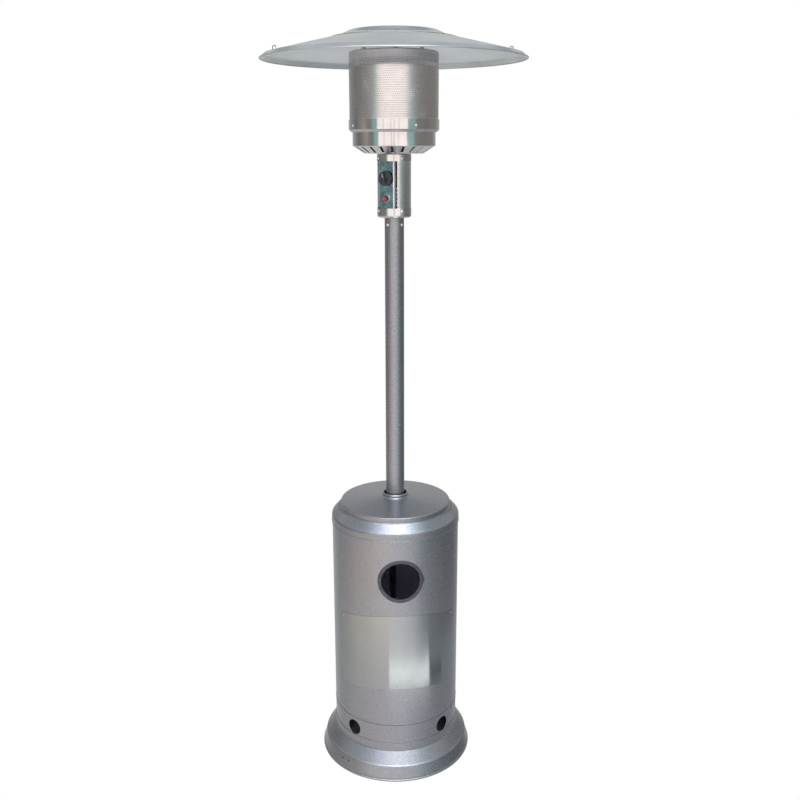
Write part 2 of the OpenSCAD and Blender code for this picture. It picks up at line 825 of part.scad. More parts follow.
// A dot for the off position and an arc for the flame's range
module panel_marks() color(red) on_panel(knob_z) {
    translate([0, dot_up, 0]) cylinder(r = dot_r, h = mark_t);
    linear_extrude(mark_t) polygon(concat(
        arc(0, 0, arc_mark_r, arc_mark_from_turn, arc_mark_to_turn),
        arc(0, 0, arc_mark_r - arc_mark_w, arc_mark_to_turn, arc_mark_from_turn)));
}

module cup_screws() color(zinc) rotate([0, 0, head_turn]) at_angles(round_angles(quarters, cup_screw_turn))
    for (z = [sleeve_low - cup_screw_in, sleeve_top + cup_screw_in]) radial_screw(cup_r, z, screw_l / 2);

// Gas line
module gas_inlet() color(brass) {
    difference() {
        union() {
            translate([0, 0, post_z]) cylinder(r = inlet_hex_r, h = inlet_hex_h, $fn = hex_sides);
            translate([0, 0, post_z - holder_plate_t - inlet_l])
                cylinder(r = inlet_r, h = inlet_l + holder_plate_t);
        }
        translate([0, 0, post_z - holder_plate_t - inlet_l - cut])
            cylinder(r = inlet_bore_r, h = inlet_l + holder_plate_t + inlet_hex_h + 2 * cut);
    }
    translate([0, 0, post_z - holder_plate_t - inlet_nut_h])
        hex_nut(inlet_hex_r, inlet_r + fit_gap, inlet_nut_h);
}

module gas_pipe() color(brass)
    translate([0, 0, post_z + inlet_hex_h])
        ring(pipe_r, pipe_wall, knob_z - valve_h / 2 - post_z - inlet_hex_h);

module tilt_switch() color(black) translate([0, 0, cup_z + switch_up]) {
    difference() {
        union() {
            translate([switch_out, 0, -clip_ring_h / 2]) cylinder(r = switch_r, h = switch_h);
            cylinder(r = pipe_r + fit_gap + clip_ring_w, h = clip_ring_h);
            translate([pipe_r, -clip_ring_w, clip_ring_w])
                cube([switch_out - pipe_r, 2 * clip_ring_w, clip_ring_w]);
        }
        translate([0, 0, -clip_ring_h]) cylinder(r = pipe_r + fit_gap, h = 3 * clip_ring_h);
    }
}

// Valve, with a stepped bore for the spindle and the plunger
module gas_valve() color(brass) difference() {
    union() {
        rotate([0, 0, head_turn])
            translate([-valve_w / 2, valve_front_gap + panel_t - panel_y, knob_z - valve_h / 2])
                cube([valve_w, panel_y - panel_t - valve_front_gap + valve_back, valve_h]);
        on_panel(knob_z) translate([0, 0, -panel_t - 2 * valve_front_gap])
            cylinder(r = boss_r, h = panel_t + 2 * valve_front_gap);
    }
    on_panel(knob_z) {
        translate([0, 0, -spindle_in]) cylinder(r = spindle_r + run_gap, h = spindle_in + cut);
        translate([0, 0, -spindle_in - plunger_gap - plunger_l - 2 * knob_push])
            cylinder(r = plunger_r + run_gap, h = plunger_l + plunger_gap + 3 * knob_push);
    }
}

module valve_plunger() color(zinc) on_panel(knob_z)
    translate([0, 0, -spindle_in - plunger_gap - plunger_l]) cylinder(r = plunger_r, h = plunger_l);

module valve_spindle() color(zinc) on_panel(knob_z)
    translate([0, 0, -spindle_in])
        cylinder(r = spindle_r, h = spindle_in + knob_gap + knob_socket - fit_gap);

module control_knob() color(black) on_panel(knob_z) difference() {
    translate([0, 0, knob_gap]) {
        cylinder(r = knob_r, h = knob_disc_h - knob_chamfer);
        translate([0, 0, knob_disc_h - knob_chamfer])
            cylinder(r1 = knob_r, r2 = knob_r - knob_chamfer, h = knob_chamfer);
        translate([0, 0, knob_disc_h]) cylinder(r = knob_step_r, h = knob_step_h);
        intersection() {
            translate([0, 0, knob_disc_h])
                cylinder(r = knob_r - 2 * knob_chamfer, h = knob_step_h + grip_h);
            rotate([0, 0, grip_turn]) translate([-grip_w / 2, -knob_r, knob_disc_h])
                cube([grip_w, knob_d, knob_step_h + grip_h]);
        }
    }
    cylinder(r = spindle_r + fit_gap, h = knob_gap + knob_socket);
}

// Igniter
module igniter_body() color(black) on_panel(igniter_z) difference() {
    union() {
        translate([0, 0, -barrel_in]) cylinder(r = barrel_r, h = barrel_in + barrel_out);
        translate([0, 0, -panel_t - button_flange_h])
            cylinder(r = nut_ring_r, h = button_flange_h - fit_gap);
    }
    translate([0, 0, barrel_floor - barrel_in])
        cylinder(r = button_flange_r + run_gap, h = barrel_in - barrel_floor + barrel_out - button_stop);
    cylinder(r = button_r + run_gap, h = 2 * barrel_out);
}

module igniter_nut() color(polished) on_panel(igniter_z) translate([0, 0, fit_gap]) difference() {
    cylinder(r1 = nut_ring_r, r2 = nut_ring_r - knob_chamfer, h = nut_ring_h);
    translate([0, 0, -cut]) cylinder(r = barrel_r + fit_gap, h = nut_ring_h + 2 * cut);
}

module igniter_button() color(red) on_panel(igniter_z) {
    translate([0, 0, barrel_out - button_stop - fit_gap - button_flange_h])
        cylinder(r = button_flange_r, h = button_flange_h);
    translate([0, 0, -button_tail]) cylinder(r = button_r, h = button_tail + button_out);
}

// Burner
valve_top = knob_z + valve_h / 2;
tube_z = valve_top + injector_hex_h;
burner_z = tray_z + stainless_t;
lead_z = tray_z - lead_drop;

module injector() color(brass) translate([0, 0, valve_top]) difference() {
    union() {
        cylinder(r = injector_hex_r, h = injector_hex_h, $fn = hex_sides);
        cylinder(r = injector_r, h = injector_l);
    }
    translate([0, 0, -cut]) cylinder(r = injector_bore_r, h = injector_l + 2 * cut);
}

module mixing_tube() color(zinc) translate([0, 0, tube_z]) difference() {
    cylinder(r = tube_r, h = burner_z + tube_lap - tube_z);
    translate([0, 0, tube_floor]) cylinder(r = tube_r - tube_wall, h = burner_z + tube_lap - tube_z);
    translate([0, 0, -cut]) cylinder(r = injector_r + fit_gap, h = tube_floor + 2 * cut);
    at_angles([0, quarter_turn]) translate([0, tube_r + cut, tube_floor + air_hole_r + cut])
        rotate([90, 0, 0]) cylinder(r = air_hole_r, h = 2 * (tube_r + cut));
}

module burner() color(stainless) translate([0, 0, burner_z]) difference() {
    cylinder(r = burner_r, h = burner_h);
    translate([0, 0, steel_t]) cylinder(r = burner_r - steel_t, h = burner_h - 2 * steel_t);
    translate([0, 0, -cut]) cylinder(r = tube_r + fit_gap, h = steel_t + 2 * cut);
    for (row = [0:port_rows - 1]) at_angles(round_angles(ports_round, row % 2 * turn / (2 * ports_round)))
        radial_hole(burner_r, port_r, port_from + row * port_step, tube_r);
}

module burner_tray() color(stainless) difference() {
    union() {
        translate([0, 0, tray_z]) cylinder(r = low_band_r - stainless_t - fit_gap, h = stainless_t);
        translate([0, 0, tray_z - tray_lip_h])
            ring(low_band_r - stainless_t - fit_gap, stainless_t, tray_lip_h + stainless_t / 2);
    }
    translate([0, 0, tray_z - cut]) cylinder(r = tube_r + fit_gap, h = stainless_t + 2 * cut);
    in_pilot() translate([probe_spread, 0, tray_z - cut])
        cylinder(r = probe_r + fit_gap, h = stainless_t + 2 * cut);
}

// The pilot group stands on the tray beside the burner, over the control panel
module in_pilot() rotate([0, 0, head_turn]) translate([0, -pilot_place, 0]) children();

module pilot_burner() color(brass) in_pilot() translate([0, 0, burner_z]) difference() {
    cylinder(r = pilot_r, h = pilot_h);
    translate([0, 0, pilot_r]) cylinder(r = pilot_bore_r, h = pilot_h);
}

module electrode() color("white") in_pilot() translate([-probe_spread, 0, burner_z]) {
    cylinder(r = electrode_r, h = electrode_h);
    cylinder(r = electrode_tip_r, h = electrode_h + electrode_tip_l);
}

// The probe's lead rises from the valve, runs out under the tray and rises beside the pilot
module lead_bend() rotate([0, -90, 0]) rotate_extrude(angle = 90)
    translate([lead_bend_r, 0]) circle(r = probe_r);

module thermocouple() color(zinc) rotate([0, 0, head_turn]) translate([probe_spread, 0, 0]) {
    translate([0, -probe_place, valve_top]) cylinder(r = probe_r, h = lead_z - lead_bend_r - valve_top);
    translate([0, -probe_place - lead_bend_r, lead_z - lead_bend_r]) lead_bend();
    translate([0, -probe_place - lead_bend_r, lead_z]) rotate([90, 0, 0])
        cylinder(r = probe_r, h = pilot_place - probe_place - 2 * lead_bend_r);
    translate([0, lead_bend_r - pilot_place, lead_z + lead_bend_r]) rotate([180, 0, 0]) lead_bend();
    translate([0, -pilot_place, lead_z + lead_bend_r])
        cylinder(r = probe_r, h = burner_z + probe_top_up - lead_z - lead_bend_r);
}

// Louvre dish, bands and screen
dish_r = low_band_r - stainless_t - fit_gap;
dish_line = [[dish_r, low_band_z + dish_lip], [dish_r, low_band_z], [dish_low_r, dish_z],
             [head_port_r, dish_z]];

module louvre_dish() color(polished) difference() {
    spun(dish_line, stainless_t);
    at_angles(round_angles(slot_count, slot_turn))
        translate([-slot_w / 2, slot_in - dish_r, dish_z - cut])
            cube([slot_w, dish_r - dish_low_r - 2 * slot_in, dish_h + 2 * cut]);
}

module lower_band() color(polished) translate([0, 0, low_band_z]) ring(low_band_r, stainless_t, low_band_h);

upper_band_line = [[top_band_r, screen_z], [top_band_r, top_band_z], [low_band_r + step_in, step_z],
                   [low_band_r - step_flange, step_z]];

module band_screw_angles() rotate([0, 0, band_screw_turn]) at_angles(round_angles(quarters)) children();

module upper_band() color(polished) difference() {
    spun(upper_band_line, stainless_t);
    band_screw_angles()
        radial_hole(top_band_r, screw_r + fit_gap, top_band_z + band_screw_up, top_band_r / 2);
}

module band_screws() color(zinc) band_screw_angles()
    radial_screw(top_band_r, top_band_z + band_screw_up, band_screw_l);

screen_line = concat(
    [[screen_r - screen_curl - screen_lip, screen_top_z]],
    arc(screen_r - screen_curl, screen_top_z - screen_curl, screen_curl, quarter_turn, 0),
    [[screen_r, screen_low]]);

module emitter_screen() color(stainless) spun(screen_line, stainless_t);

module stud_places() at_angles(round_angles(stud_count)) translate([0, -stud_place, 0]) children();

module screen_top() color(stainless) difference() {
    translate([0, 0, top_plate_z]) union() {
        cylinder(r = screen_r - screen_curl, h = top_plate_t);
        translate([0, 0, -top_plate_lip])
            ring(screen_r - screen_curl, top_plate_t, top_plate_lip + top_plate_t / 2);
    }
    stud_places() cylinder(r = stud_r + fit_gap, h = 2 * top_plate_z);
}

// Reflector
crown_floor_low = crown_floor_z - reflector_t;

module reflector_studs() color(zinc) stud_places()
    translate([0, 0, top_plate_z - nut_h - fit_gap])
        cylinder(r = stud_r, h = crown_floor_z + stud_over - top_plate_z + nut_h + fit_gap);

module stud_spacers() color(zinc) stud_places()
    translate([0, 0, top_plate_z + top_plate_t])
        ring(spacer_r, spacer_r - stud_r - fit_gap, crown_floor_low - top_plate_z - top_plate_t);

module stud_nuts() color(zinc) stud_places() {
    translate([0, 0, crown_floor_z]) hex_nut(nut_r, stud_r + fit_gap, nut_h);
    translate([0, 0, top_plate_z - nut_h]) hex_nut(nut_r, stud_r + fit_gap, nut_h);
}

crown_line = [[0, crown_floor_z], [crown_floor_r, crown_floor_z], [crown_top_r - crown_edge, crown_z],
              [crown_top_r, crown_z], [crown_r, crown_at(crown_r)],
              [crown_skirt_r, crown_at(crown_skirt_r)]];

module crown_screw_places() at_angles(round_angles(quarters))
    on_slope(crown_screw_place, crown_at(crown_screw_place)) children();

module crown() color(aluminium) difference() {
    union() {
        spun(crown_line, reflector_t);
        rotate_extrude() translate([crown_skirt_r, crown_at(crown_skirt_r)]) circle(r = reflector_t);
    }
    stud_places() cylinder(r = stud_r + fit_gap, h = 2 * crown_z);
    crown_screw_places() translate([0, 0, -crown_screw_l])
        cylinder(r = screw_r + fit_gap, h = 2 * crown_screw_l);
}

module crown_screws() color(zinc) crown_screw_places() {
    translate([0, 0, fit_gap]) cylinder(r1 = screw_head_r, r2 = screw_top_r, h = screw_head_h);
    translate([0, 0, -crown_screw_l]) cylinder(r = screw_r, h = crown_screw_l + fit_gap);
}

flange_r = reflector_r - flange_w;
rim_z = cone_at(flange_r) - flange_fall;
reflector_line = [[panel_inner_r, cone_at(panel_inner_r)], [flange_r, cone_at(flange_r)],
                  [reflector_r - rim_bead_r, rim_z]];

module clip_places() at_angles([quarter_turn, -quarter_turn])
    on_slope(clip_place, cone_at(clip_place)) children();

module reflector_half() difference() {
    union() {
        spun(reflector_line, reflector_t);
        rotate_extrude() translate([reflector_r - rim_bead_r, rim_z]) circle(r = rim_bead_r);
    }
    translate([-2 * reflector_r, -seam_gap / 2, 0]) cube([2 * reflector_d, 2 * reflector_d, 2 * crown_z]);
    crown_screw_places() translate([0, 0, -2 * crown_screw_l])
        cylinder(r = screw_r + fit_gap, h = 3 * crown_screw_l);
    clip_places() translate([0, 0, -crown_screw_l]) cylinder(r = screw_r + fit_gap, h = 2 * crown_screw_l);
}

module reflector_front() color(aluminium) reflector_half();
module reflector_rear() color(aluminium) rotate([0, 0, turn / 2]) reflector_half();

// A wire loop on a washer, with a shank and a nut that close the seam
module seam_clips() color(zinc) clip_places() {
    translate([0, 0, fit_gap]) cylinder(r = clip_base_r, h = clip_base_h);
    translate([0, 0, -reflector_t - clip_nut_h - 2 * fit_gap])
        cylinder(r = screw_r, h = reflector_t + clip_nut_h + 3 * fit_gap);
    translate([0, 0, -reflector_t - clip_nut_h - fit_gap])
        hex_nut(clip_nut_r, screw_r, clip_nut_h);
    translate([0, 0, fit_gap + clip_base_h + clip_loop_r]) rotate([0, 90, 0])
        rotate_extrude() translate([clip_loop_r, 0]) circle(r = clip_wire_r);
}

base_skirt();
base_board();
base_drum();
base_bolts();
leg_left();
leg_right();
leg_rear();
post_holder();
holder_bolts();
post();
post_foot_screws();
post_head_screws();
housing();
opening_edging();
front_plate();
plate_rivets();
housing_cover();
lower_cup();
head_spigot();
control_sleeve();
control_panel();
panel_marks();
upper_cup();
cup_screws();
gas_pipe();
gas_inlet();
gas_valve();
valve_plunger();
valve_spindle();
control_knob();
igniter_body();
igniter_nut();
igniter_button();
tilt_switch();
injector();
mixing_tube();
burner();
burner_tray();
pilot_burner();
thermocouple();
electrode();
louvre_dish();
lower_band();
upper_band();
band_screws();
emitter_screen();
screen_top();
reflector_studs();
stud_spacers();
stud_nuts();
reflector_front();
reflector_rear();
crown();
crown_screws();
seam_clips();
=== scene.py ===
import json
import math
import bmesh
import bpy
from mathutils import Matrix, Vector


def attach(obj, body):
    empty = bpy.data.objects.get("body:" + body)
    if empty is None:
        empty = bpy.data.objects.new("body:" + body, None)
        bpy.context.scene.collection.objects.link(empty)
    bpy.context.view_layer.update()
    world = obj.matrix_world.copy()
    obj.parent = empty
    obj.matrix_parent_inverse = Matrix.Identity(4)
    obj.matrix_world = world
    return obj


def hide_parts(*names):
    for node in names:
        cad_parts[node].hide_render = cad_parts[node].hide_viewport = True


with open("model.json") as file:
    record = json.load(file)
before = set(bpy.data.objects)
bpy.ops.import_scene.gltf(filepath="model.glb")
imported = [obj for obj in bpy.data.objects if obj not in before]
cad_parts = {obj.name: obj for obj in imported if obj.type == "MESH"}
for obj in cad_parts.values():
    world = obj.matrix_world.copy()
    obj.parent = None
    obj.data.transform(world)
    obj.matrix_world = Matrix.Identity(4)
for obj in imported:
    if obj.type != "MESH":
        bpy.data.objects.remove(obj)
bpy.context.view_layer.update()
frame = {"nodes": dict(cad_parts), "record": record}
NODES = frame["nodes"]
MM = 0.001

# Sizes in mm, most of them as in the part's source, and turns in radians; SCREW_TURN values are in degrees
DRUM_R = 198.5
POST_R = 28.5
HEAD_TURN = math.radians(-35)
PANEL_Y = 41.915
CUP_Z, SLEEVE_LOW, SLEEVE_TOP, DISH_Z = 1736.0, 1756.0, 1887.5, 1908.0
SLEEVE_R = 48.65
KNOB_Z, IGNITER_Z = 1839.5, 1783.8
SCREEN_R, SCREEN_LOW, SCREEN_TOP = 126.3, 1980.3, 2183.0
OPENING_TURN, OPENING_Z = math.radians(1.6), 664.0
EDGE_OUT_R, EDGE_SPLIT, EDGE_POINT = 69.5, 0.6, math.radians(20)
COVER_R, COVER_LOW, HEM_R = 199.75, 792.0, 1.1
CROWN_R, CROWN_FOOT_Z, CROWN_SCREW_R, CONE_FALL = 132.0, 2230.0, 160.8, 0.237
CROWN_TOP, CROWN_RECESS, CROWN_SHEET = 2238.0, 7.0, 1.0
CROWN_EDGE_R, CROWN_WALL_R, CROWN_SKIRT_R = 124.0, 152.0, 179.8
CLIP_PLACE, CLIP_WASHER_R, CLIP_NUT_R, SKIN_DROP = 344.4, 3.5, 4.0, 1.3
CLIP_HOOK_Y, CLIP_HOOK_Z, CLIP_LOOP_R, CLIP_WIRE_R = 16.2, 12.8, 4.4, 1.15
HOUSING_LOW, SEAM_R = 173.0, 0.7
STEP_LOW, STEP_TOP = 1966.2, 1973.8
FIT = 0.15
SCREW_R, SCREW_H, SCREW_SHANK_R = 3.5, 1.5, 1.9
POST_SCREW_Z, POST_SCREW_TURN = 1708.0, 45
CUP_SCREW_R, CUP_SCREW_BEYOND, CUP_SCREW_TURN = 49.75, 8, 57.5
BAND_SCREW_R, BAND_SCREW_Z, BAND_SCREW_TURN = 129.15, 1984.0, -65
POST_SHANK, CUP_SHANK, BAND_SHANK, CROWN_SHANK = 4.9, 2.4, 2.3, 4.0
HOLES_LOW, HOLES_TOP, SLEEVE_HOLES_LOW, SLEEVE_HOLES_TOP = 2004.5, 2173.9, 1757.5, 1886.3
SCREEN_COLUMNS, SCREEN_ROWS, SCREEN_HOLE_R = 136, 29, 1.1
SLEEVE_COLUMNS, SLEEVE_ROWS, SLEEVE_HOLE_R, SLEEVE_END = 40, 22, 1.3, 3.8
SHEET, SCREEN_CURL_R, WINDOW = 0.8, 4.0, math.radians(42.6)
KNOB_FLUTES, KNOB_FLUTE_DEPTH, KNOB_TURN, KNOB_FACE = 36, 0.35, math.radians(12), 12.2
GRIP_HALF, GRIP_STEPS, POINTER_STEPS = 17.9, 28, 10
NUT_TEETH, NUT_TOOTH_DEPTH = 30, 0.28


# Node materials
class Net:
    """Material of shader nodes, with short calls for the nodes used here."""
    def __init__(self, name):
        self.mat = bpy.data.materials.new(name)
        self.mat.use_nodes = True
        self.tree = self.mat.node_tree
        self.tree.nodes.clear()
        self.out = self.tree.nodes.new("ShaderNodeOutputMaterial")
        self.bsdf = self.tree.nodes.new("ShaderNodeBsdfPrincipled")
        self.link(self.bsdf.outputs[0], self.out.inputs["Surface"])
        self.object = self.tree.nodes.new("ShaderNodeTexCoord").outputs["Object"]

    def link(self, a, b):
        self.tree.links.new(a, b)

    def put(self, socket, value):
        if isinstance(value, bpy.types.NodeSocket):
            self.link(value, socket)
        elif isinstance(value, (tuple, list)) and len(value) == 3 and socket.type == "RGBA":
            socket.default_value = (*value, 1)
        else:
            socket.default_value = value

    def math(self, op, a, b=0.0):
        n = self.tree.nodes.new("ShaderNodeMath")
        n.operation = op
        self.put(n.inputs[0], a)
        self.put(n.inputs[1], b)
        return n.outputs[0]

    def xyz(self):
        n = self.tree.nodes.new("ShaderNodeSeparateXYZ")
        self.link(self.object, n.inputs[0])
        return n.outputs

    def vec(self, x, y, z):
        n = self.tree.nodes.new("ShaderNodeCombineXYZ")
        for s, v in zip(n.inputs, (x, y, z)):
            self.put(s, v)
        return n.outputs[0]

    def radius(self):
        p = self.xyz()
        squares = self.math("ADD", self.math("POWER", p[0], 2.0), self.math("POWER", p[1], 2.0))
        return self.math("SQRT", squares)

    def angle(self):
        p = self.xyz()
        return self.math("ARCTAN2", p[1], p[0])

    def height(self):
        return self.xyz()[2]

    def noise(self, scale, detail=3.0, rough=0.5, vector=None, distortion=0.0):
        n = self.tree.nodes.new("ShaderNodeTexNoise")
        self.put(n.inputs["Vector"], vector or self.object)
        n.inputs["Scale"].default_value = scale
        n.inputs["Detail"].default_value = detail
        n.inputs["Roughness"].default_value = rough
        n.inputs["Distortion"].default_value = distortion
        return n.outputs["Fac"]

    def voronoi(self, scale):
        n = self.tree.nodes.new("ShaderNodeTexVoronoi")
        n.feature = "SMOOTH_F1"
        self.link(self.object, n.inputs["Vector"])
        n.inputs["Scale"].default_value = scale
        return n.outputs["Distance"]

    def stretch(self, x, y, z):
        n = self.tree.nodes.new("ShaderNodeVectorMath")
        n.operation = "MULTIPLY"
        self.link(self.object, n.inputs[0])
        n.inputs[1].default_value = (x, y, z)
        return n.outputs[0]

    def range(self, value, a, b, c, d):
        n = self.tree.nodes.new("ShaderNodeMapRange")
        self.put(n.inputs["Value"], value)
        for k, v in (("From Min", a), ("From Max", b), ("To Min", c), ("To Max", d)):
            self.put(n.inputs[k], v)
        return n.outputs["Result"]

    def mix(self, fac, a, b):
        n = self.tree.nodes.new("ShaderNodeMix")
        n.data_type = "RGBA"
        self.put(n.inputs["Factor"], fac)
        self.put(n.inputs[6], a)
        self.put(n.inputs[7], b)
        return n.outputs[2]

    def bump(self, height, distance, strength, normal=None):
        n = self.tree.nodes.new("ShaderNodeBump")
        n.inputs["Strength"].default_value = strength
        n.inputs["Distance"].default_value = distance
        self.put(n.inputs["Height"], height)
        if normal is not None:
            self.link(normal, n.inputs["Normal"])
        return n.outputs[0]

    def tangent(self):
        n = self.tree.nodes.new("ShaderNodeTangent")
        n.direction_type = "RADIAL"
        n.axis = "Z"
        self.link(n.outputs[0], self.bsdf.inputs["Tangent"])

    def set(self, **values):
        names = {"color": "Base Color", "metal": "Metallic", "rough": "Roughness", "normal": "Normal",
                 "coat": "Coat Weight", "coat_rough": "Coat Roughness", "aniso": "Anisotropic",
                 "spin": "Anisotropic Rotation", "spec": "Specular IOR Level"}
        for k, v in values.items():
            self.put(self.bsdf.inputs[names[k]], v)
        return self.mat


INSIDE_PAINT = (0.60, 0.58, 0.72)
DRUM_PAINT = (0.54, 0.53, 0.57)
HAMMER_DARK = (0.29, 0.29, 0.305)
HAMMER_LIGHT = (0.41, 0.41, 0.425)
STEEL_DARK = (0.60, 0.57, 0.56)
STEEL_LIGHT = (0.72, 0.69, 0.68)
# Radii just over those of the inner faces, in metres: within them the primer shows
HOUSING_BORE, DRUM_BORE, POST_BORE = 0.19755, 0.19735, 0.0272


def hammertone(name, dark, light, inside=0.0, primer=INSIDE_PAINT):
    """Glossy silver-grey paint that dried in small dimples; plain primer within the radius inside."""
    n = Net(name)
    wander = n.noise(9.0, 2.0)
    cells = n.voronoi(330.0)
    fine = n.noise(700.0, 3.0, 0.6)
    both = n.math("ADD", n.math("MULTIPLY", cells, 1.1), n.math("MULTIPLY", fine, 0.5))
    paint = n.mix(n.range(both, 0.35, 0.95, 0.0, 1.0), light, dark)
    paint = n.mix(n.range(wander, 0.35, 0.7, 0.0, 0.15), paint, tuple(0.85 * c for c in dark))
    rough = n.range(fine, 0.3, 0.7, 0.24, 0.33)
    metal = 0.85
    if inside:
        mask = n.range(n.radius(), inside, inside + 0.0002, 0.0, 1.0)
        paint = n.mix(mask, primer, paint)
        metal = n.math("MULTIPLY", mask, metal)
        rough = n.math("ADD", rough, n.math("MULTIPLY", n.math("SUBTRACT", 1.0, mask), 0.4))
    relief = n.bump(fine, 0.00008, 0.4, n.bump(cells, 0.0003, 0.5))
    return n.set(color=paint, metal=metal, rough=rough, normal=relief, coat=0.2, coat_rough=0.15)


def brushed(name, dark, light, rough, aniso, depth=0.00004, smudge=0.25, spin=0.25):
    """Brushed sheet with streaks round the axis, faint smudges and long scratches."""
    n = Net(name)
    vector = n.vec(n.math("MULTIPLY", n.angle(), 0.5), n.radius(), n.math("MULTIPLY", n.height(), 60.0))
    streak = n.noise(26.0, 6.0, 0.72, vector)
    hair = n.noise(140.0, 3.0, 0.8, vector)
    cloud = n.noise(14.0, 4.0, 0.6, None, 0.4)
    colour = n.mix(n.range(streak, 0.3, 0.7, 0.0, 1.0), dark, light)
    colour = n.mix(n.range(cloud, 0.45, 0.75, 0.0, smudge), colour, tuple(0.8 * c for c in dark))
    streaky = n.range(streak, 0.3, 0.7, rough * 0.85, rough * 1.15)
    uneven = n.math("ADD", streaky, n.range(cloud, 0.4, 0.8, 0.0, 0.05))
    n.tangent()
    return n.set(color=colour, metal=1.0, rough=uneven, aniso=aniso, spin=spin,
                 normal=n.bump(hair, depth, 0.4))


def polished(name, dark, light, rough=0.07, wave=0.00035, ledge=None):
    """Mirror-polished sheet with slight waves and wiping marks; matt at the ledge's heights."""
    n = Net(name)
    vector = n.vec(n.angle(), n.radius(), n.math("MULTIPLY", n.height(), 1.4))
    waves = n.noise(5.0, 1.5, 0.4, vector)
    wipe = n.noise(60.0, 4.0, 0.7, n.vec(n.angle(), n.radius(), n.math("MULTIPLY", n.height(), 9.0)))
    cloud = n.noise(22.0, 3.0)
    colour = n.mix(n.range(cloud, 0.35, 0.7, 0.0, 1.0), light, dark)
    gloss = n.range(wipe, 0.35, 0.75, rough * 0.7, rough * 1.7)
    if ledge:
        low = n.range(n.height(), ledge[0] * MM, (ledge[0] + 0.2) * MM, 0.0, 0.42)
        high = n.range(n.height(), (ledge[1] - 0.2) * MM, ledge[1] * MM, 1.0, 0.0)
        gloss = n.math("ADD", gloss, n.math("MULTIPLY", low, high))
    return n.set(color=colour, metal=1.0, rough=gloss,
                 normal=n.bump(wipe, 0.00001, 0.3, n.bump(waves, wave, 0.6)))


def folded_panel(name, dark, light, rough=0.10):
    """Polished face tinted blue-green with clouds, a painted reflection of teal surroundings; pale satin on
    the folded-back edges is a painted highlight, turning to painted shade deeper in the returns.
    """
    n = Net(name)
    p = n.xyz()
    turn_cos = math.cos(HEAD_TURN)
    turn_sin = math.sin(HEAD_TURN)
    across = n.math("ADD", n.math("MULTIPLY", p[0], turn_cos), n.math("MULTIPLY", p[1], turn_sin))
    # Painted highlight: the folded-back edges are pale satin, standing in for the light caught along the
    # folds.
    fold_highlight_mask = n.range(n.math("ABSOLUTE", across), 0.0229, 0.0235, 0.0, 1.0)
    # Painted shade: deeper in the returns, behind the face, the folded edges turn dull mauve-grey.
    inward = n.math("SUBTRACT", n.math("MULTIPLY", p[0], turn_sin), n.math("MULTIPLY", p[1], turn_cos))
    deep = n.range(inward, PANEL_Y * MM - 0.0045, PANEL_Y * MM - 0.0035, 1.0, 0.0)
    shade = n.math("MULTIPLY", fold_highlight_mask, deep)
    wipe = n.noise(60.0, 4.0, 0.7, n.stretch(1.0, 1.0, 5.0))
    cloud = n.noise(45.0, 4.0, 0.6)
    # Painted reflection: the blue-green tint and its clouds stand in for teal surroundings mirrored in the
    # panel.
    painted_teal_reflection = n.mix(n.range(cloud, 0.38, 0.62, 0.0, 1.0), light, dark)
    paint = n.mix(shade, n.mix(fold_highlight_mask, painted_teal_reflection, (0.86, 0.85, 0.86)), (0.45, 0.41, 0.45))
    gloss = n.range(wipe, 0.35, 0.75, rough * 0.7, rough * 1.7)
    return n.set(color=paint, metal=n.range(fold_highlight_mask, 0.0, 1.0, 1.0, 0.25),
                 rough=n.math("ADD", gloss, n.math("MULTIPLY", fold_highlight_mask, 0.3)),
                 normal=n.bump(wipe, 0.00001, 0.3))


def plated(name, dark, light, rough=0.28, metal=1.0):
    """Plated or turned metal: fine grain and soft clouds."""
    n = Net(name)
    grain = n.noise(900.0, 3.0, 0.6)
    cloud = n.noise(160.0, 4.0, 0.6)
    return n.set(color=n.mix(n.range(cloud, 0.35, 0.7, 0.0, 1.0), dark, light), metal=metal,
                 rough=n.range(cloud, 0.3, 0.7, rough * 0.8, rough * 1.3),
                 normal=n.bump(grain, 0.00003, 0.4))


def moulded(name, dark, light, rough=0.45, grain_depth=0.00006, coat=0.0):
    """Moulded or enamelled surface with a fine cellular grain."""
    n = Net(name)
    grain = n.voronoi(1400.0)
    cloud = n.noise(90.0, 4.0, 0.6)
    return n.set(color=n.mix(n.range(cloud, 0.35, 0.7, 0.0, 1.0), dark, light), metal=0.0,
                 rough=n.range(cloud, 0.3, 0.7, rough * 0.85, rough * 1.2),
                 normal=n.bump(grain, grain_depth, 0.4), coat=coat, coat_rough=0.1)


def satin(name, dark, light, rough=0.22, metal=0.85):
    """Spun sheet: rings from spinning and soft clouds."""
    n = Net(name)
    spun = n.vec(n.math("MULTIPLY", n.angle(), 0.35), n.math("MULTIPLY", n.radius(), 30.0), 0.0)
    rings = n.noise(30.0, 5.0, 0.7, spun)
    cloud = n.noise(7.0, 4.0, 0.55)
    grain = n.noise(700.0, 3.0, 0.6)
    colour = n.mix(n.range(cloud, 0.35, 0.7, 0.0, 1.0), light, dark)
    colour = n.mix(n.range(rings, 0.4, 0.75, 0.0, 0.35), colour, tuple(0.88 * c for c in dark))
    return n.set(color=colour, metal=metal, rough=n.range(rings, 0.3, 0.7, rough * 0.88, rough * 1.12),
                 normal=n.bump(rings, 0.00005, 0.35, n.bump(grain, 0.00002, 0.3)))


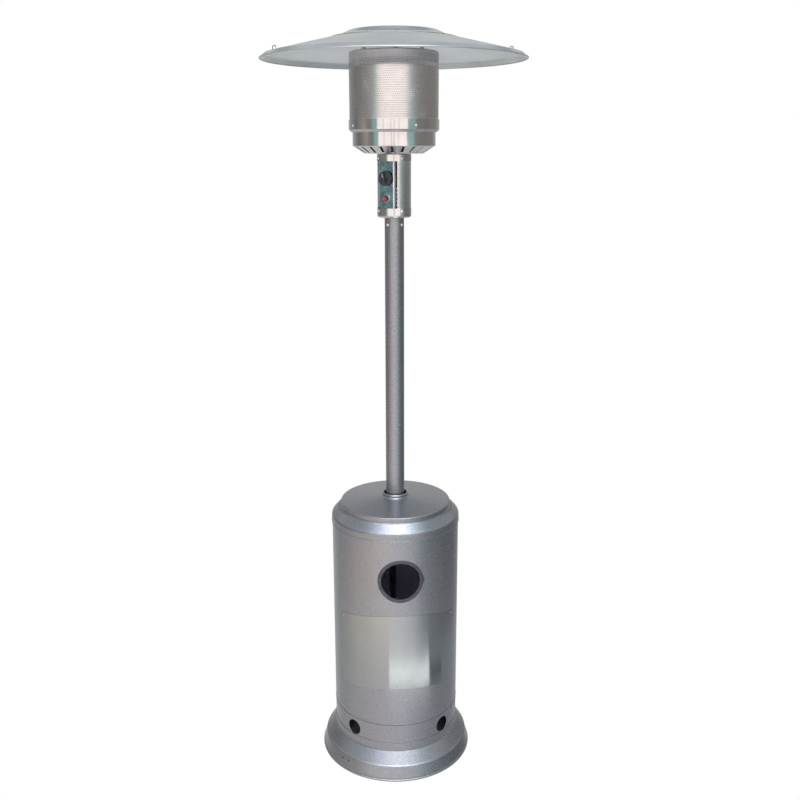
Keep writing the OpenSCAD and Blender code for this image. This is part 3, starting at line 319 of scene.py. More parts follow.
MATS = {
    "hammertone": hammertone("hammertone_paint", HAMMER_DARK, HAMMER_LIGHT),
    "hammertone_inside": hammertone("hammertone_housing", HAMMER_DARK, HAMMER_LIGHT, HOUSING_BORE),
    "hammertone_post": hammertone("hammertone_post", HAMMER_DARK, HAMMER_LIGHT, POST_BORE),
    "hammertone_drum": hammertone("hammertone_drum", HAMMER_DARK, HAMMER_LIGHT, DRUM_BORE, DRUM_PAINT),
    "edging_rubber": moulded("edging_rubber", (0.035, 0.031, 0.042), (0.075, 0.068, 0.088), 0.38, 0.00004),
    "stainless_plate": brushed("stainless_plate", (0.365, 0.385, 0.385), (0.42, 0.445, 0.445), 0.15,
                               0.75, 0.00001, 0.1),
    "perforated": brushed("perforated_stainless", (0.63, 0.60, 0.59), (0.80, 0.775, 0.765), 0.16,
                          1.0, 0.00001, 0.12, 0.0),
    "perforated_sleeve": brushed("perforated_sleeve", (0.70, 0.69, 0.685), (0.88, 0.87, 0.865), 0.22,
                                 0.7, 0.00001, 0.12),
    "stainless": brushed("stainless_inside", (0.30, 0.29, 0.28), (0.42, 0.40, 0.39), 0.35, 0.3),
    "polished_steel": polished("polished_steel", STEEL_DARK, STEEL_LIGHT),
    "stepped_steel": polished("stepped_steel", STEEL_DARK, STEEL_LIGHT, ledge=(STEP_LOW, STEP_TOP)),
    # Blue-green colours of the panel: a painted reflection of teal surroundings.
    "panel": folded_panel("polished_panel", (0.24, 0.46, 0.50), (0.55, 0.84, 0.87)),
    "chrome": polished("chrome_plate", (0.68, 0.68, 0.70), (0.80, 0.80, 0.82), 0.05, 0.00005),
    "zinc": plated("zinc_plate", (0.42, 0.42, 0.41), (0.60, 0.59, 0.57)),
    "clip_wire": plated("clip_wire", (0.07, 0.07, 0.075), (0.15, 0.15, 0.155), 0.35),
    # Zinc plating made near white and half matt: partly a painted highlight, standing in for the glints on
    # screw heads and clip fittings.
    "zinc_with_painted_glint": plated("zinc_with_painted_glint", (0.84, 0.84, 0.83), (0.95, 0.95, 0.94), 0.25, 0.3),
    "bare_steel": plated("galvanised_steel", (0.30, 0.30, 0.31), (0.44, 0.44, 0.45), 0.45),
    # Legs painted near black as painted shade, so they sink into the dark inside the housing.
    "leg_paint": moulded("black_leg_shade_paint", (0.06, 0.06, 0.072), (0.09, 0.09, 0.105), 0.5),
    "brass": plated("turned_brass", (0.48, 0.33, 0.12), (0.66, 0.49, 0.20), 0.3),
    "black_plastic": moulded("black_plastic", (0.022, 0.026, 0.027), (0.045, 0.050, 0.051), 0.30, 0.00004),
    "red_plastic": moulded("red_plastic", (0.50, 0.018, 0.022), (0.66, 0.035, 0.04), 0.22, 0.00001, 0.5),
    "red_print": moulded("red_enamel", (0.50, 0.02, 0.03), (0.62, 0.04, 0.05), 0.35, 0.00001, 0.2),
    "ceramic": moulded("glazed_ceramic", (0.72, 0.70, 0.64), (0.84, 0.82, 0.77), 0.2, 0.00001, 0.4),
    "aluminium": satin("spun_aluminium", (0.60, 0.615, 0.615), (0.69, 0.705, 0.705)),
    "dish_steel": polished("dish_steel", (0.70, 0.68, 0.67), (0.84, 0.82, 0.80), 0.2),
}

SPECIAL = {"housing": "hammertone_inside", "post": "hammertone_post", "base_drum": "hammertone_drum",
           "control_panel": "panel", "control_sleeve": "perforated_sleeve",
           "emitter_screen": "perforated", "louvre_dish": "dish_steel", "upper_band": "stepped_steel"}
slots = {s["node"]: s["material_slot"] for s in frame["record"]["subparts"]}
for name, obj in NODES.items():
    key = SPECIAL.get(name, slots[name])
    obj.data.materials.clear()
    obj.data.materials.append(MATS[key])


# Mesh helpers
def finish_mesh(name, verts, faces, mat, body, sharp, replaces=()):
    """Object from millimetres, smooth but for edges sharper than the angle given, on its body, with its
    material.
    """
    mesh = bpy.data.meshes.new(name)
    mesh.from_pydata([Vector(v) * MM for v in verts], [], faces)
    bm = bmesh.new()
    bm.from_mesh(mesh)
    bmesh.ops.recalc_face_normals(bm, faces=bm.faces)
    limit = math.radians(sharp)
    for e in bm.edges:
        if len(e.link_faces) == 2 and e.calc_face_angle(0.0) > limit:
            e.smooth = False
    for f in bm.faces:
        f.smooth = True
    bm.to_mesh(mesh)
    bm.free()
    obj = bpy.data.objects.new(name, mesh)
    bpy.context.scene.collection.objects.link(obj)
    mesh.materials.append(MATS[mat])
    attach(obj, body)
    if replaces:
        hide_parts(*replaces)


class Build:
    """Collects vertices and faces, in mm."""
    def __init__(self):
        self.v, self.f = [], []

    def add(self, verts, faces, matrix=None):
        base = len(self.v)
        self.v += [tuple(matrix @ Vector(p)) if matrix else tuple(p) for p in verts]
        self.f += [tuple(base + i for i in f) for f in faces]

    def lathe(self, profile, segments, matrix=None, closed=False, cut=lambda a, r, z: 0.0):
        """Turns (r, z) round local Z; cut gives how much less the radius is at an angle."""
        verts, faces = [], []
        for i in range(segments):
            a = 2 * math.pi * i / segments
            for r, z in profile:
                rr = r - cut(a, r, z)
                verts.append((rr * math.cos(a), rr * math.sin(a), z))
        k = len(profile)
        for i in range(segments):
            j = (i + 1) % segments
            for s in range(k if closed else k - 1):
                t = (s + 1) % k
                faces.append((i * k + s, j * k + s, j * k + t, i * k + t))
        self.add(verts, faces, matrix)


def outward(angle, z, r):
    """Frame on the axis' radius at angle from the front: local Z outward, local Y up."""
    d = Vector((math.sin(angle), -math.cos(angle), 0))
    x = Vector((math.cos(angle), math.sin(angle), 0))
    m = Matrix((x, Vector((0, 0, 1)), d)).transposed().to_4x4()
    m.translation = d * r + Vector((0, 0, z))
    return m


def screw(build, matrix, length, spin):
    """Pan head with a rolled edge and a cross recess, on a plain shank; local Z outward, seat at zero."""
    rings, segs = 12, 40
    half_wide, half_long = 0.13 * SCREW_R, 0.56 * SCREW_R
    verts, faces = [], []
    for i in range(rings + 1):
        t = i / rings
        for j in range(segs):
            a = 2 * math.pi * j / segs
            x, y = SCREW_R * t * math.cos(a), SCREW_R * t * math.sin(a)
            z = SCREW_H * math.sqrt(1 - (0.93 * t) ** 2.6)
            if min(abs(x), abs(y)) < half_wide and max(abs(x), abs(y)) < half_long:
                z -= 0.5 * SCREW_H * (1 - 0.6 * t / 0.56)
            verts.append((x, y, z))
    for j in range(segs):
        a = 2 * math.pi * j / segs
        verts.append((SCREW_R * math.cos(a), SCREW_R * math.sin(a), 0.0))
    for i in range(rings + 1):
        for j in range(segs):
            k = (j + 1) % segs
            faces.append((i * segs + j, i * segs + k, (i + 1) * segs + k, (i + 1) * segs + j))
    build.add(verts, faces, matrix @ Matrix.Rotation(spin, 4, "Z"))
    build.lathe([(SCREW_R * 0.98, 0.0), (SCREW_SHANK_R, 0.0), (SCREW_SHANK_R, -length), (0.05, -length)],
                24, matrix)


def screw_set(name, places, length, mat, node):
    """Screws at (frame, turn about its own axis) in one piece, in place of the node."""
    screws = Build()
    for matrix, spin in places:
        screw(screws, matrix, length, spin)
    finish_mesh(name, screws.v, screws.f, mat, "frame", 40, (node,))


def round_ring(name, ring_r, ring_z, wire_r, mat, body):
    """Round wire bent into a ring about the post, with 12 sides."""
    turns = [2 * math.pi * i / 12 for i in range(12)]
    section = [(ring_r + wire_r * math.sin(t), ring_z - wire_r * math.cos(t)) for t in turns]
    ring = Build()
    ring.lathe(section, 180, None, True)
    finish_mesh(name, ring.v, ring.f, mat, body, 60)


# Perforated sheets
def perforated(name, radius, z0, z1, first, sweep, columns, rows, hole, mat, node, below, above, closed):
    """Rolled sheet with staggered round holes, plain margins below and above, and real thickness."""
    half_u = sweep / (2 * columns)
    half_z = (z1 - z0) / (2 * rows)
    ncol = 2 * columns + (0 if closed else 1)
    verts, faces, index = [], [], {}

    def point(i, j, layer):
        key = ("g", i % ncol if closed else i, j, layer)
        if key not in index:
            a = first + i * half_u
            rr = radius - (SHEET if layer else 0)
            index[key] = len(verts)
            verts.append((rr * math.sin(a), -rr * math.cos(a), z0 + j * half_z))
        return index[key]

    def ring(ci, cj, layer):
        a0, zc = first + ci * half_u, z0 + cj * half_z
        rr = radius - (SHEET if layer else 0)
        out = []
        for k in range(8):
            t = 2 * math.pi * k / 8
            a = a0 + hole * math.cos(t) / radius
            out.append(len(verts))
            verts.append((rr * math.sin(a), -rr * math.cos(a), zc + hole * math.sin(t)))
        return out

    around = [(1, 0), (1, 1), (0, 1), (-1, 1), (-1, 0), (-1, -1), (0, -1), (1, -1)]
    for row in range(rows):
        cj = 2 * row + 1
        shift = row % 2
        for col in range(columns):
            ci = 2 * col + 1 + shift
            if not closed and ci + 1 > 2 * columns:
                continue
            o = [point(ci + dx, cj + dy, 0) for dx, dy in around]
            n = [point(ci + dx, cj + dy, 1) for dx, dy in around]
            ho, hn = ring(ci, cj, 0), ring(ci, cj, 1)
            for k in range(8):
                m = (k + 1) % 8
                faces.append((o[k], o[m], ho[m], ho[k]))
                faces.append((n[m], n[k], hn[k], hn[m]))
                faces.append((ho[k], ho[m], hn[m], hn[k]))
        if not closed and shift:
            for lo, hi in ((0, 1), (2 * columns - 1, 2 * columns)):
                for dj in (-1, 0):
                    for layer in (0, 1):
                        faces.append((point(lo, cj + dj, layer), point(hi, cj + dj, layer),
                                      point(hi, cj + dj + 1, layer), point(lo, cj + dj + 1, layer)))
    # Plain margins: outlines of (radius inset, height) from the holes outwards
    count = ncol if closed else ncol - 1
    for outline, j in ((below, 0), (above, 2 * rows)):
        for layer in (0, 1):
            prev = [point(i, j, layer) for i in range(ncol)]
            for inset, z in outline[layer]:
                line = []
                for i in range(ncol):
                    a = first + i * half_u
                    rr = radius - inset
                    line.append(len(verts))
                    verts.append((rr * math.sin(a), -rr * math.cos(a), z))
                for i in range(count):
                    k = (i + 1) % ncol
                    faces.append((prev[i], prev[k], line[k], line[i]))
                prev = line
            if layer == 0:
                outer_end = prev
            else:
                for i in range(count):
                    k = (i + 1) % ncol
                    faces.append((outer_end[i], outer_end[k], prev[k], prev[i]))
    if not closed:
        for i in (0, 2 * columns):
            for j in range(2 * rows):
                faces.append((point(i, j, 0), point(i, j + 1, 0), point(i, j + 1, 1), point(i, j, 1)))
    finish_mesh(name, verts, faces, mat, "frame", 40, (node,))


def curl(top, r):
    """Edge that curls inward at the top: outer and inner outlines as (inset, z)."""
    turns = [math.pi / 2 * k / 6 for k in range(7)]
    outer = [(r - r * math.cos(t), top - r + r * math.sin(t)) for t in turns] + [(r + 3, top)]
    thin = r - SHEET
    inner = [(r - thin * math.cos(t), top - r + thin * math.sin(t)) for t in turns] + [(r + 3, top - SHEET)]
    return [outer, inner]


def margin(z):
    """Straight margin of a sheet down or up to z: outer and inner outlines."""
    return [[(0, z)], [(SHEET, z)]]


perforated("emitter_screen_sheet", SCREEN_R, HOLES_LOW, HOLES_TOP, math.pi, 2 * math.pi,
           SCREEN_COLUMNS, SCREEN_ROWS, SCREEN_HOLE_R, "perforated", "emitter_screen",
           margin(SCREEN_LOW), curl(SCREEN_TOP, SCREEN_CURL_R), True)
perforated("control_sleeve_sheet", SLEEVE_R, SLEEVE_HOLES_LOW, SLEEVE_HOLES_TOP, HEAD_TURN + WINDOW,
           2 * math.pi - 2 * WINDOW, SLEEVE_COLUMNS, SLEEVE_ROWS, SLEEVE_HOLE_R, "perforated_sleeve",
           "control_sleeve", margin(CUP_Z), margin(DISH_Z - SLEEVE_END), False)

# Screws
post_places = [(outward(math.radians(POST_SCREW_TURN + 90 * k), POST_SCREW_Z, POST_R + FIT), 0.4 + k)
               for k in range(4)]
screw_set("post_head_screw_set", post_places, POST_SHANK, "zinc_with_painted_glint", "post_head_screws")
cup_places = [(outward(HEAD_TURN + math.radians(CUP_SCREW_TURN + 90 * k), z, CUP_SCREW_R), 0.7 * k + z)
              for z in (SLEEVE_LOW - CUP_SCREW_BEYOND, SLEEVE_TOP + CUP_SCREW_BEYOND) for k in range(4)]
screw_set("cup_screw_set", cup_places, CUP_SHANK, "zinc_with_painted_glint", "cup_screws")
band_places = [(outward(math.radians(BAND_SCREW_TURN + 90 * k), BAND_SCREW_Z, BAND_SCREW_R), 0.9 * k)
               for k in range(4)]
screw_set("band_screw_set", band_places, BAND_SHANK, "zinc_with_painted_glint", "band_screws")

SLOPE = math.atan(CONE_FALL)


def on_cone(angle, r, z):
    """Frame square on the cone in front at angle: local Z out of the surface."""
    return Matrix.Rotation(angle, 4, "Z") @ Matrix.Translation((0, -r, z)) @ Matrix.Rotation(SLOPE, 4, "X")


def cone_height(r):
    """Height of the reflector's cone at a radius."""
    return CROWN_FOOT_Z - (r - CROWN_R) * CONE_FALL


crown_places = [(on_cone(math.pi / 2 * k, CROWN_SCREW_R, cone_height(CROWN_SCREW_R) + FIT), 0.5 * k)
                for k in range(4)]
screw_set("crown_screw_set", crown_places, CROWN_SHANK, "zinc", "crown_screws")


def round_corner(before, corner, after, reach, steps=5):
    """Points of a smooth bend between two straight runs, by a quadratic curve."""
    a = Vector(corner) + (Vector(before) - Vector(corner)).normalized() * reach
    c = Vector(corner) + (Vector(after) - Vector(corner)).normalized() * reach
    points = []
    for i in range(steps + 1):
        t = i / steps
        p = a * (1 - t) ** 2 + Vector(corner) * 2 * t * (1 - t) + c * t ** 2
        points.append((p.x, p.y))
    return points


def crown_outline(drop):
    """Crown's section, (r, z), lowered by drop: recess, rounded edge, wall, slope and edge."""
    floor_z = CROWN_TOP - CROWN_RECESS
    run = [(0.02, floor_z), (CROWN_EDGE_R - 11, floor_z), (CROWN_EDGE_R - 6, CROWN_TOP),
           (CROWN_EDGE_R, CROWN_TOP), (CROWN_WALL_R, cone_height(CROWN_WALL_R)),
           (CROWN_SKIRT_R, cone_height(CROWN_SKIRT_R))]
    points = [run[0]]
    for k, reach in ((1, 2.0), (2, 1.5), (3, 3.0), (4, 8.0)):
        points += round_corner(run[k - 1], run[k], run[k + 1], reach)
    points.append(run[-1])
    return [(r, z - drop) for r, z in points]


def bent_wire(build, path, wire_r, matrix, sides=10):
    """Round wire along a path of (y, z) in the plane of local Y and Z, with flat ends."""
    verts, faces = [], []
    for i, (y, z) in enumerate(path):
        before, after = path[max(i - 1, 0)], path[min(i + 1, len(path) - 1)]
        along = Vector((0, after[0] - before[0], after[1] - before[1])).normalized()
        side = Vector((0, -along.z, along.y))
        for k in range(sides):
            t = 2 * math.pi * k / sides
            verts.append(Vector((wire_r * math.cos(t), y, z)) + side * wire_r * math.sin(t))
    for i in range(len(path) - 1):
        for k in range(sides):
            m = (k + 1) % sides
            faces.append((i * sides + k, i * sides + m, (i + 1) * sides + m, (i + 1) * sides + k))
    last = (len(path) - 1) * sides
    faces += [tuple(reversed(range(sides))), tuple(range(last, last + sides))]
    build.add(verts, faces, matrix)


# Wire-loop clips on the reflector's seams: a leg from the washer runs inward, rises and hooks over
CLIP_LEG = [(0.0, 2.9), (3.0, 3.0), (6.5, 4.4), (9.5, 7.0), (11.3, 9.6)]
HOOK_TURNS = [math.radians(t) for t in range(190, -50, -15)]
CLIP_HOOK = [(CLIP_HOOK_Y + CLIP_LOOP_R * math.cos(t), CLIP_HOOK_Z + CLIP_LOOP_R * math.sin(t))
             for t in HOOK_TURNS]
fasteners, wires = Build(), Build()
for side in (-1, 1):
    seat = on_cone(side * math.pi / 2, CLIP_PLACE, cone_height(CLIP_PLACE) - SKIN_DROP)
    fasteners.lathe([(0.02, 0.2), (CLIP_WASHER_R - 0.4, 0.2), (CLIP_WASHER_R, 0.6), (CLIP_WASHER_R, 1.6),
                     (CLIP_WASHER_R - 0.4, 2.0), (1.4, 2.2), (0.02, 2.2)], 32, seat)
    fasteners.lathe([(1.9, 0.3), (1.9, -5.0), (1.5, -5.4), (0.02, -5.4)], 24, seat)
    fasteners.lathe([(1.9, -1.4), (CLIP_NUT_R, -1.4), (CLIP_NUT_R, -3.9), (1.9, -3.9)], 6, seat)
    bent_wire(wires, CLIP_LEG + CLIP_HOOK, CLIP_WIRE_R, seat)
finish_mesh("clip_fasteners", fasteners.v, fasteners.f, "zinc_with_painted_glint", "frame", 40, ("seam_clips",))
finish_mesh("wire_loops", wires.v, wires.f, "clip_wire", "frame", 60)

crown = Build()
crown.lathe(crown_outline(0.0) + crown_outline(CROWN_SHEET)[::-1], 180)
finish_mesh("crown_sheet", crown.v, crown.f, "aluminium", "frame", 50, ("crown",))

# Knob: fluted disc, and a grip bar whose ends die into the disc
b = Build()
knob = outward(HEAD_TURN, KNOB_Z, PANEL_Y)
DISC = [(3.2, 4.2), (18.5, 4.2), (20.6, 4.2), (21.25, 4.7), (21.45, 6.0), (21.35, 8.5), (20.9, 10.6),
        (20.2, 11.6), (19.2, 12.0), (17.9, 12.1), (17.4, 12.6), (17.2, 13.6), (16.6, 14.0), (12.0, 14.0),
        (6.0, 13.9), (0.02, 13.9)]


def flute(a, r, z):
    """Depth of the disc's flutes, which leave its face and foot plain."""
    if r > 20.3 and z > 4.4:
        return KNOB_FLUTE_DEPTH * max(0.0, math.cos(KNOB_FLUTES * a)) ** 2
    return 0.0


b.lathe(DISC, 288, knob, False, flute)
tilt = Matrix.Rotation(KNOB_TURN, 4, "Z")
GRIP = [(-4.3, KNOB_FACE), (-4.0, 16.5), (-3.3, 18.9), (-2.0, 19.8), (0.0, 20.0), (2.0, 19.8), (3.3, 18.9),
        (4.0, 16.5), (4.3, KNOB_FACE)]
verts, faces = [], []
for i in range(GRIP_STEPS + 1):
    t = -1 + 2 * i / GRIP_STEPS
    drop = max(0.0, abs(t) - 0.72) / 0.28
    narrow = 1 - 0.25 * drop ** 2
    for x, z in GRIP:
        verts.append((x * narrow, GRIP_HALF * t, KNOB_FACE + (z - KNOB_FACE) * (1 - drop ** 2.2)))
k = len(GRIP)
for i in range(GRIP_STEPS):
    for s in range(k - 1):
        faces.append((i * k + s, (i + 1) * k + s, (i + 1) * k + s + 1, i * k + s + 1))
b.add(verts, faces, knob @ tilt)
finish_mesh("gas_knob", b.v, b.f, "black_plastic", "control_knob", 32, ("control_knob",))

# Pale pointer line, printed on the grip
b = Build()
verts, faces = [], []
for i in range(POINTER_STEPS + 1):
    y = 3.5 + 9.5 * i / POINTER_STEPS
    verts += [(-0.55, y, 20.02), (0.55, y, 20.02), (0.55, y, 19.7), (-0.55, y, 19.7)]
for i in range(POINTER_STEPS):
    for s in range(4):
        faces.append((4 * i + s, 4 * i + (s + 1) % 4, 4 * i + 4 + (s + 1) % 4, 4 * i + 4 + s))
last = 4 * POINTER_STEPS
faces += [(0, 1, 2, 3), (last, last + 1, last + 2, last + 3)]
b.add(verts, faces, knob @ tilt)
finish_mesh("knob_pointer_line", b.v, b.f, "ceramic", "control_knob", 30)

# Igniter: knurled nut and button
NUT = [(8.65, 0.15), (11.3, 0.15), (11.5, 0.45), (11.5, 1.6), (11.2, 2.4), (10.6, 3.2), (10.2, 4.0),
       (8.75, 4.1), (8.65, 3.9)]
BUTTON = [(0.02, -3.0), (5.3, -3.0), (5.45, -2.8), (5.45, 4.8), (6.65, 4.85), (6.65, 6.8), (5.5, 6.85),
          (5.5, 13.6), (5.35, 14.3), (4.9, 14.8), (4.2, 14.98), (3.0, 14.9), (1.5, 14.75), (0.02, 14.7)]
igniter = outward(HEAD_TURN, IGNITER_Z, PANEL_Y)


def knurl(a, r, z):
    """Depth of the nut's teeth, on its rim alone."""
    return NUT_TOOTH_DEPTH * (0.5 + 0.5 * math.cos(NUT_TEETH * a)) if r > 10.9 else 0.0


b = Build()
b.lathe(NUT, 180, igniter, True, knurl)
finish_mesh("igniter_ring", b.v, b.f, "chrome", "frame", 35, ("igniter_nut",))
b = Build()
b.lathe(BUTTON, 64, igniter)
finish_mesh("igniter_push_button", b.v, b.f, "red_plastic", "igniter_button", 50,
            ("igniter_button",))

# Edging of the hand opening: a channel round the sheet's edge, split at the right where it runs to a point
EDGE_STEPS = 220
verts, faces = [], []


def edging_section(out):
    """Section as (distance from the opening's middle, height over the housing), out to the rim at out."""
    return [(58.6, -2.2), (58.55, -1.2), (58.5, 0.4), (58.8, 1.3), (59.6, 1.85), (61.0, 2.0), (63.5, 1.75),
            (66.0, 1.6), (out - 2.2, 1.5), (out - 1.2, 1.35), (out - 0.4, 0.95), (out - 0.05, 0.4),
            (out - 0.05, 0.17), (out - 4.0, 0.16), (61.4, 0.16), (61.4, -1.16), (64.0, -1.16), (66.5, -1.3),
            (66.5, -2.4), (62.0, -2.9), (59.4, -2.8)]


gap = EDGE_SPLIT / EDGE_OUT_R
for i in range(EDGE_STEPS + 1):
    t = gap + (2 * math.pi - 2 * gap) * i / EDGE_STEPS
    near = min(t, 2 * math.pi - t)
    section = edging_section(EDGE_OUT_R / math.cos(max(0.0, EDGE_POINT - near)))
    for rho, depth in section:
        x, z = rho * math.cos(t), rho * math.sin(t)
        verts.append((x, -math.sqrt((DRUM_R + depth) ** 2 - x * x), z))
k = len(section)
for i in range(EDGE_STEPS):
    for s in range(k):
        u = (s + 1) % k
        faces.append((i * k + s, (i + 1) * k + s, (i + 1) * k + u, i * k + u))
faces.append(tuple(range(k)))
faces.append(tuple(reversed(range(EDGE_STEPS * k, (EDGE_STEPS + 1) * k))))
b = Build()
b.add(verts, faces, Matrix.Rotation(OPENING_TURN, 4, "Z") @ Matrix.Translation((0, 0, OPENING_Z)))
finish_mesh("opening_edging_strip", b.v, b.f, "edging_rubber", "tank_housing", 50,
            ("opening_edging",))

# Thin rolled hem along the cover's lower edge, and a thin dark ring in the seam under the housing, painted
# shade standing in for the shadow in that gap
round_ring("cover_hem", COVER_R, COVER_LOW + HEM_R, HEM_R, "hammertone", "tank_housing")
round_ring("seam_shade_ring", DRUM_R, HOUSING_LOW, SEAM_R, "edging_rubber", "frame")

# Camera
LENS, SENSOR, CAM_D, CAM_H = 42.8, 36, 2.8162, 1.9285
CAM_TURN = math.radians(-2.95)
PITCH = math.radians(14.944)
YAW = math.radians(-0.316)
ROLL = math.radians(-0.105)
cam_data = bpy.data.cameras.new("photo_camera")
cam_data.lens = LENS
cam_data.sensor_width = SENSOR
cam_data.clip_start = 0.05
cam_data.clip_end = 200
camera = bpy.data.objects.new("photo_camera", cam_data)
bpy.context.scene.collection.objects.link(camera)
place = Vector((CAM_D * math.sin(CAM_TURN), -CAM_D * math.cos(CAM_TURN), CAM_H))
turn = Matrix.Rotation(CAM_TURN + YAW, 4, "Z")
turn = turn @ Matrix.Rotation(math.pi / 2 - PITCH, 4, "X") @ Matrix.Rotation(ROLL, 4, "Z")
camera.matrix_world = Matrix.Translation(place) @ turn
bpy.context.scene.camera = camera

# Floor: plain white to the camera, pale to the light that falls on the object
FLOOR_HALF = 40.0
mesh = bpy.data.meshes.new("floor")
corners = [(-FLOOR_HALF, -FLOOR_HALF, 0), (FLOOR_HALF, -FLOOR_HALF, 0), (FLOOR_HALF, FLOOR_HALF, 0),
           (-FLOOR_HALF, FLOOR_HALF, 0)]
mesh.from_pydata(corners, [], [(0, 1, 2, 3)])
floor = bpy.data.objects.new("floor", mesh)
bpy.context.scene.collection.objects.link(floor)
n = Net("pale_floor")
cloud = n.noise(1.2, 3.0)
pale = n.mix(n.range(cloud, 0.3, 0.7, 0.0, 1.0), (0.86, 0.86, 0.86), (0.89, 0.89, 0.885))
n.set(color=pale, rough=0.8, spec=0.1)
glow = n.tree.nodes.new("ShaderNodeEmission")
glow.inputs["Color"].default_value = (1, 1, 1, 1)
seen = n.tree.nodes.new("ShaderNodeLightPath")
either = n.tree.nodes.new("ShaderNodeMixShader")
n.link(seen.outputs["Is Camera Ray"], either.inputs[0])
n.link(n.bsdf.outputs[0], either.inputs[1])
n.link(glow.outputs[0], either.inputs[2])
n.link(either.outputs[0], n.out.inputs["Surface"])
mesh.materials.append(n.mat)
floor.visible_glossy = False


CARD_LIFT = 0.02


def floor_card(name, corners, light):
    """Card on the floor that shows only in reflections."""
    card = bpy.data.meshes.new(name)
    card.from_pydata([(x, y, CARD_LIFT) for x, y in corners], [], [range(len(corners))])
    obj = bpy.data.objects.new(name, card)
    bpy.context.scene.collection.objects.link(obj)
    net = Net(name)
    lamp = net.tree.nodes.new("ShaderNodeEmission")
    lamp.inputs["Color"].default_value = (light, light, light, 1)
    net.link(lamp.outputs[0], net.out.inputs["Surface"])
    card.materials.append(net.mat)
    obj.visible_camera = obj.visible_diffuse = obj.visible_shadow = False


floor_card("bright_card", [(-0.155, -0.659), (0.049, -0.675), (0.267, -0.618), (0.527, -0.400),
                           (0.680, -0.488), (0.343, -0.762), (0.063, -0.837), (-0.197, -0.812)], 2.05)
floor_card("dark_card", [(0.545, -0.385), (0.636, -0.128), (0.752, -0.128), (0.652, -0.428)], 0.2)

# Studio walls, given by direction: turn from the front in degrees, and colour
CARD = (1.34, 1.25, 1.23)
LINES = [-30, -11, -3, 9]
LINE_HALF, LINE_COLOUR = 1.5, (0.62, 0.52, 0.50)
HEAD_WALLS = [(-180, (0.60, 0.60, 0.60)), (-135, (0.30, 0.30, 0.30)), (-115, (0.19, 0.19, 0.185)),
              (-98, (0.30, 0.29, 0.28)), (-84, (0.42, 0.38, 0.36)), (-72, (0.26, 0.25, 0.24)),
              (-62, (0.23, 0.25, 0.24)), (-58, (0.28, 0.52, 0.49)), (-48, (0.30, 0.56, 0.53)), (-45, CARD)]
for deg in LINES:
    HEAD_WALLS += [(deg - LINE_HALF, CARD), (deg, LINE_COLOUR), (deg + LINE_HALF, CARD)]
HEAD_WALLS += [(31, CARD), (34, (0.34, 0.56, 0.54)), (50, (0.28, 0.58, 0.58)), (58, (0.28, 0.26, 0.25)),
               (85, (0.24, 0.235, 0.23)), (125, (0.27, 0.27, 0.26)), (180, (0.60, 0.60, 0.60))]
EMITTER_WALLS = [(-180, (0.60, 0.60, 0.60)), (-135, (0.30, 0.30, 0.30)), (-115, (0.20, 0.20, 0.195)),
                 (-98, (0.27, 0.26, 0.255)), (-72, (0.33, 0.32, 0.315)), (-60, (0.36, 0.37, 0.36)),
                 (-55, (0.40, 0.50, 0.475)), (-47, (0.44, 0.52, 0.50)), (-43, CARD), (31, CARD),
                 (35, (0.52, 0.60, 0.60)), (46, (0.36, 0.46, 0.455)), (54, (0.30, 0.31, 0.305)),
                 (85, (0.25, 0.245, 0.24)), (125, (0.27, 0.27, 0.26)), (180, (0.60, 0.60, 0.60))]
SLEEVE_WALLS = [(-180, (0.60, 0.60, 0.60)), (-125, (0.20, 0.19, 0.18)), (-95, (0.27, 0.25, 0.24)),
                (-60, (0.26, 0.27, 0.26)), (-52, (0.55, 0.60, 0.57)), (-46, CARD), (-12, CARD),
                (-4, (0.80, 0.75, 0.74)), (4, CARD), (33, CARD), (40, (0.62, 0.62, 0.62)),
                (62, (0.28, 0.28, 0.28)), (75, (0.19, 0.17, 0.17)), (125, (0.22, 0.23, 0.22)),
                (180, (0.60, 0.60, 0.60))]
POST_WALLS = [(-180, (0.50, 0.50, 0.50)), (-98, (0.22, 0.22, 0.22)), (-68, (0.44, 0.43, 0.42)),
              (-44, (0.80, 0.78, 0.76)), (-22, (1.04, 1.0, 1.0)), (0, (1.08, 1.12, 1.12)),
              (22, (0.82, 0.94, 0.93)), (44, (0.31, 0.43, 0.43)), (70, (0.15, 0.20, 0.21)),
              (100, (0.10, 0.12, 0.13)), (140, (0.25, 0.26, 0.28)), (180, (0.60, 0.62, 0.62))]
HOUSING_WALLS = [(-180, (0.72, 0.74, 0.74)), (-127, (0.43, 0.45, 0.44)), (-98, (0.74, 0.65, 0.62)),
                 (-76, (1.12, 0.96, 0.80)), (-56, (1.28, 1.08, 0.88)), (-37, (1.58, 1.30, 1.14)),
                 (-15, (1.58, 1.38, 1.26)), (2, (1.30, 1.18, 1.15)), (15, (1.14, 1.06, 1.10)),
                 (31, (0.90, 0.86, 0.94)), (49, (0.30, 0.31, 0.36)), (68, (0.15, 0.165, 0.20)),
                 (92, (0.09, 0.09, 0.10)), (125, (0.13, 0.13, 0.14)), (150, (0.36, 0.37, 0.38)),
                 (180, (0.72, 0.74, 0.74))]
LOW_WALLS = [(-180, (0.64, 0.66, 0.645)), (-125, (0.50, 0.51, 0.52)), (-95, (0.62, 0.62, 0.62)),
             (-60, (0.68, 0.67, 0.70)), (-35, (0.72, 0.71, 0.76)), (-12, (0.79, 0.78, 0.86)),
             (0, (0.88, 0.87, 0.96)), (12, (0.84, 0.83, 0.93)), (30, (0.62, 0.62, 0.70)),
             (50, (0.48, 0.49, 0.53)), (70, (0.36, 0.38, 0.42)), (95, (0.34, 0.36, 0.40)),
             (130, (0.36, 0.37, 0.40)), (160, (0.50, 0.51, 0.52)), (180, (0.64, 0.66, 0.645))]
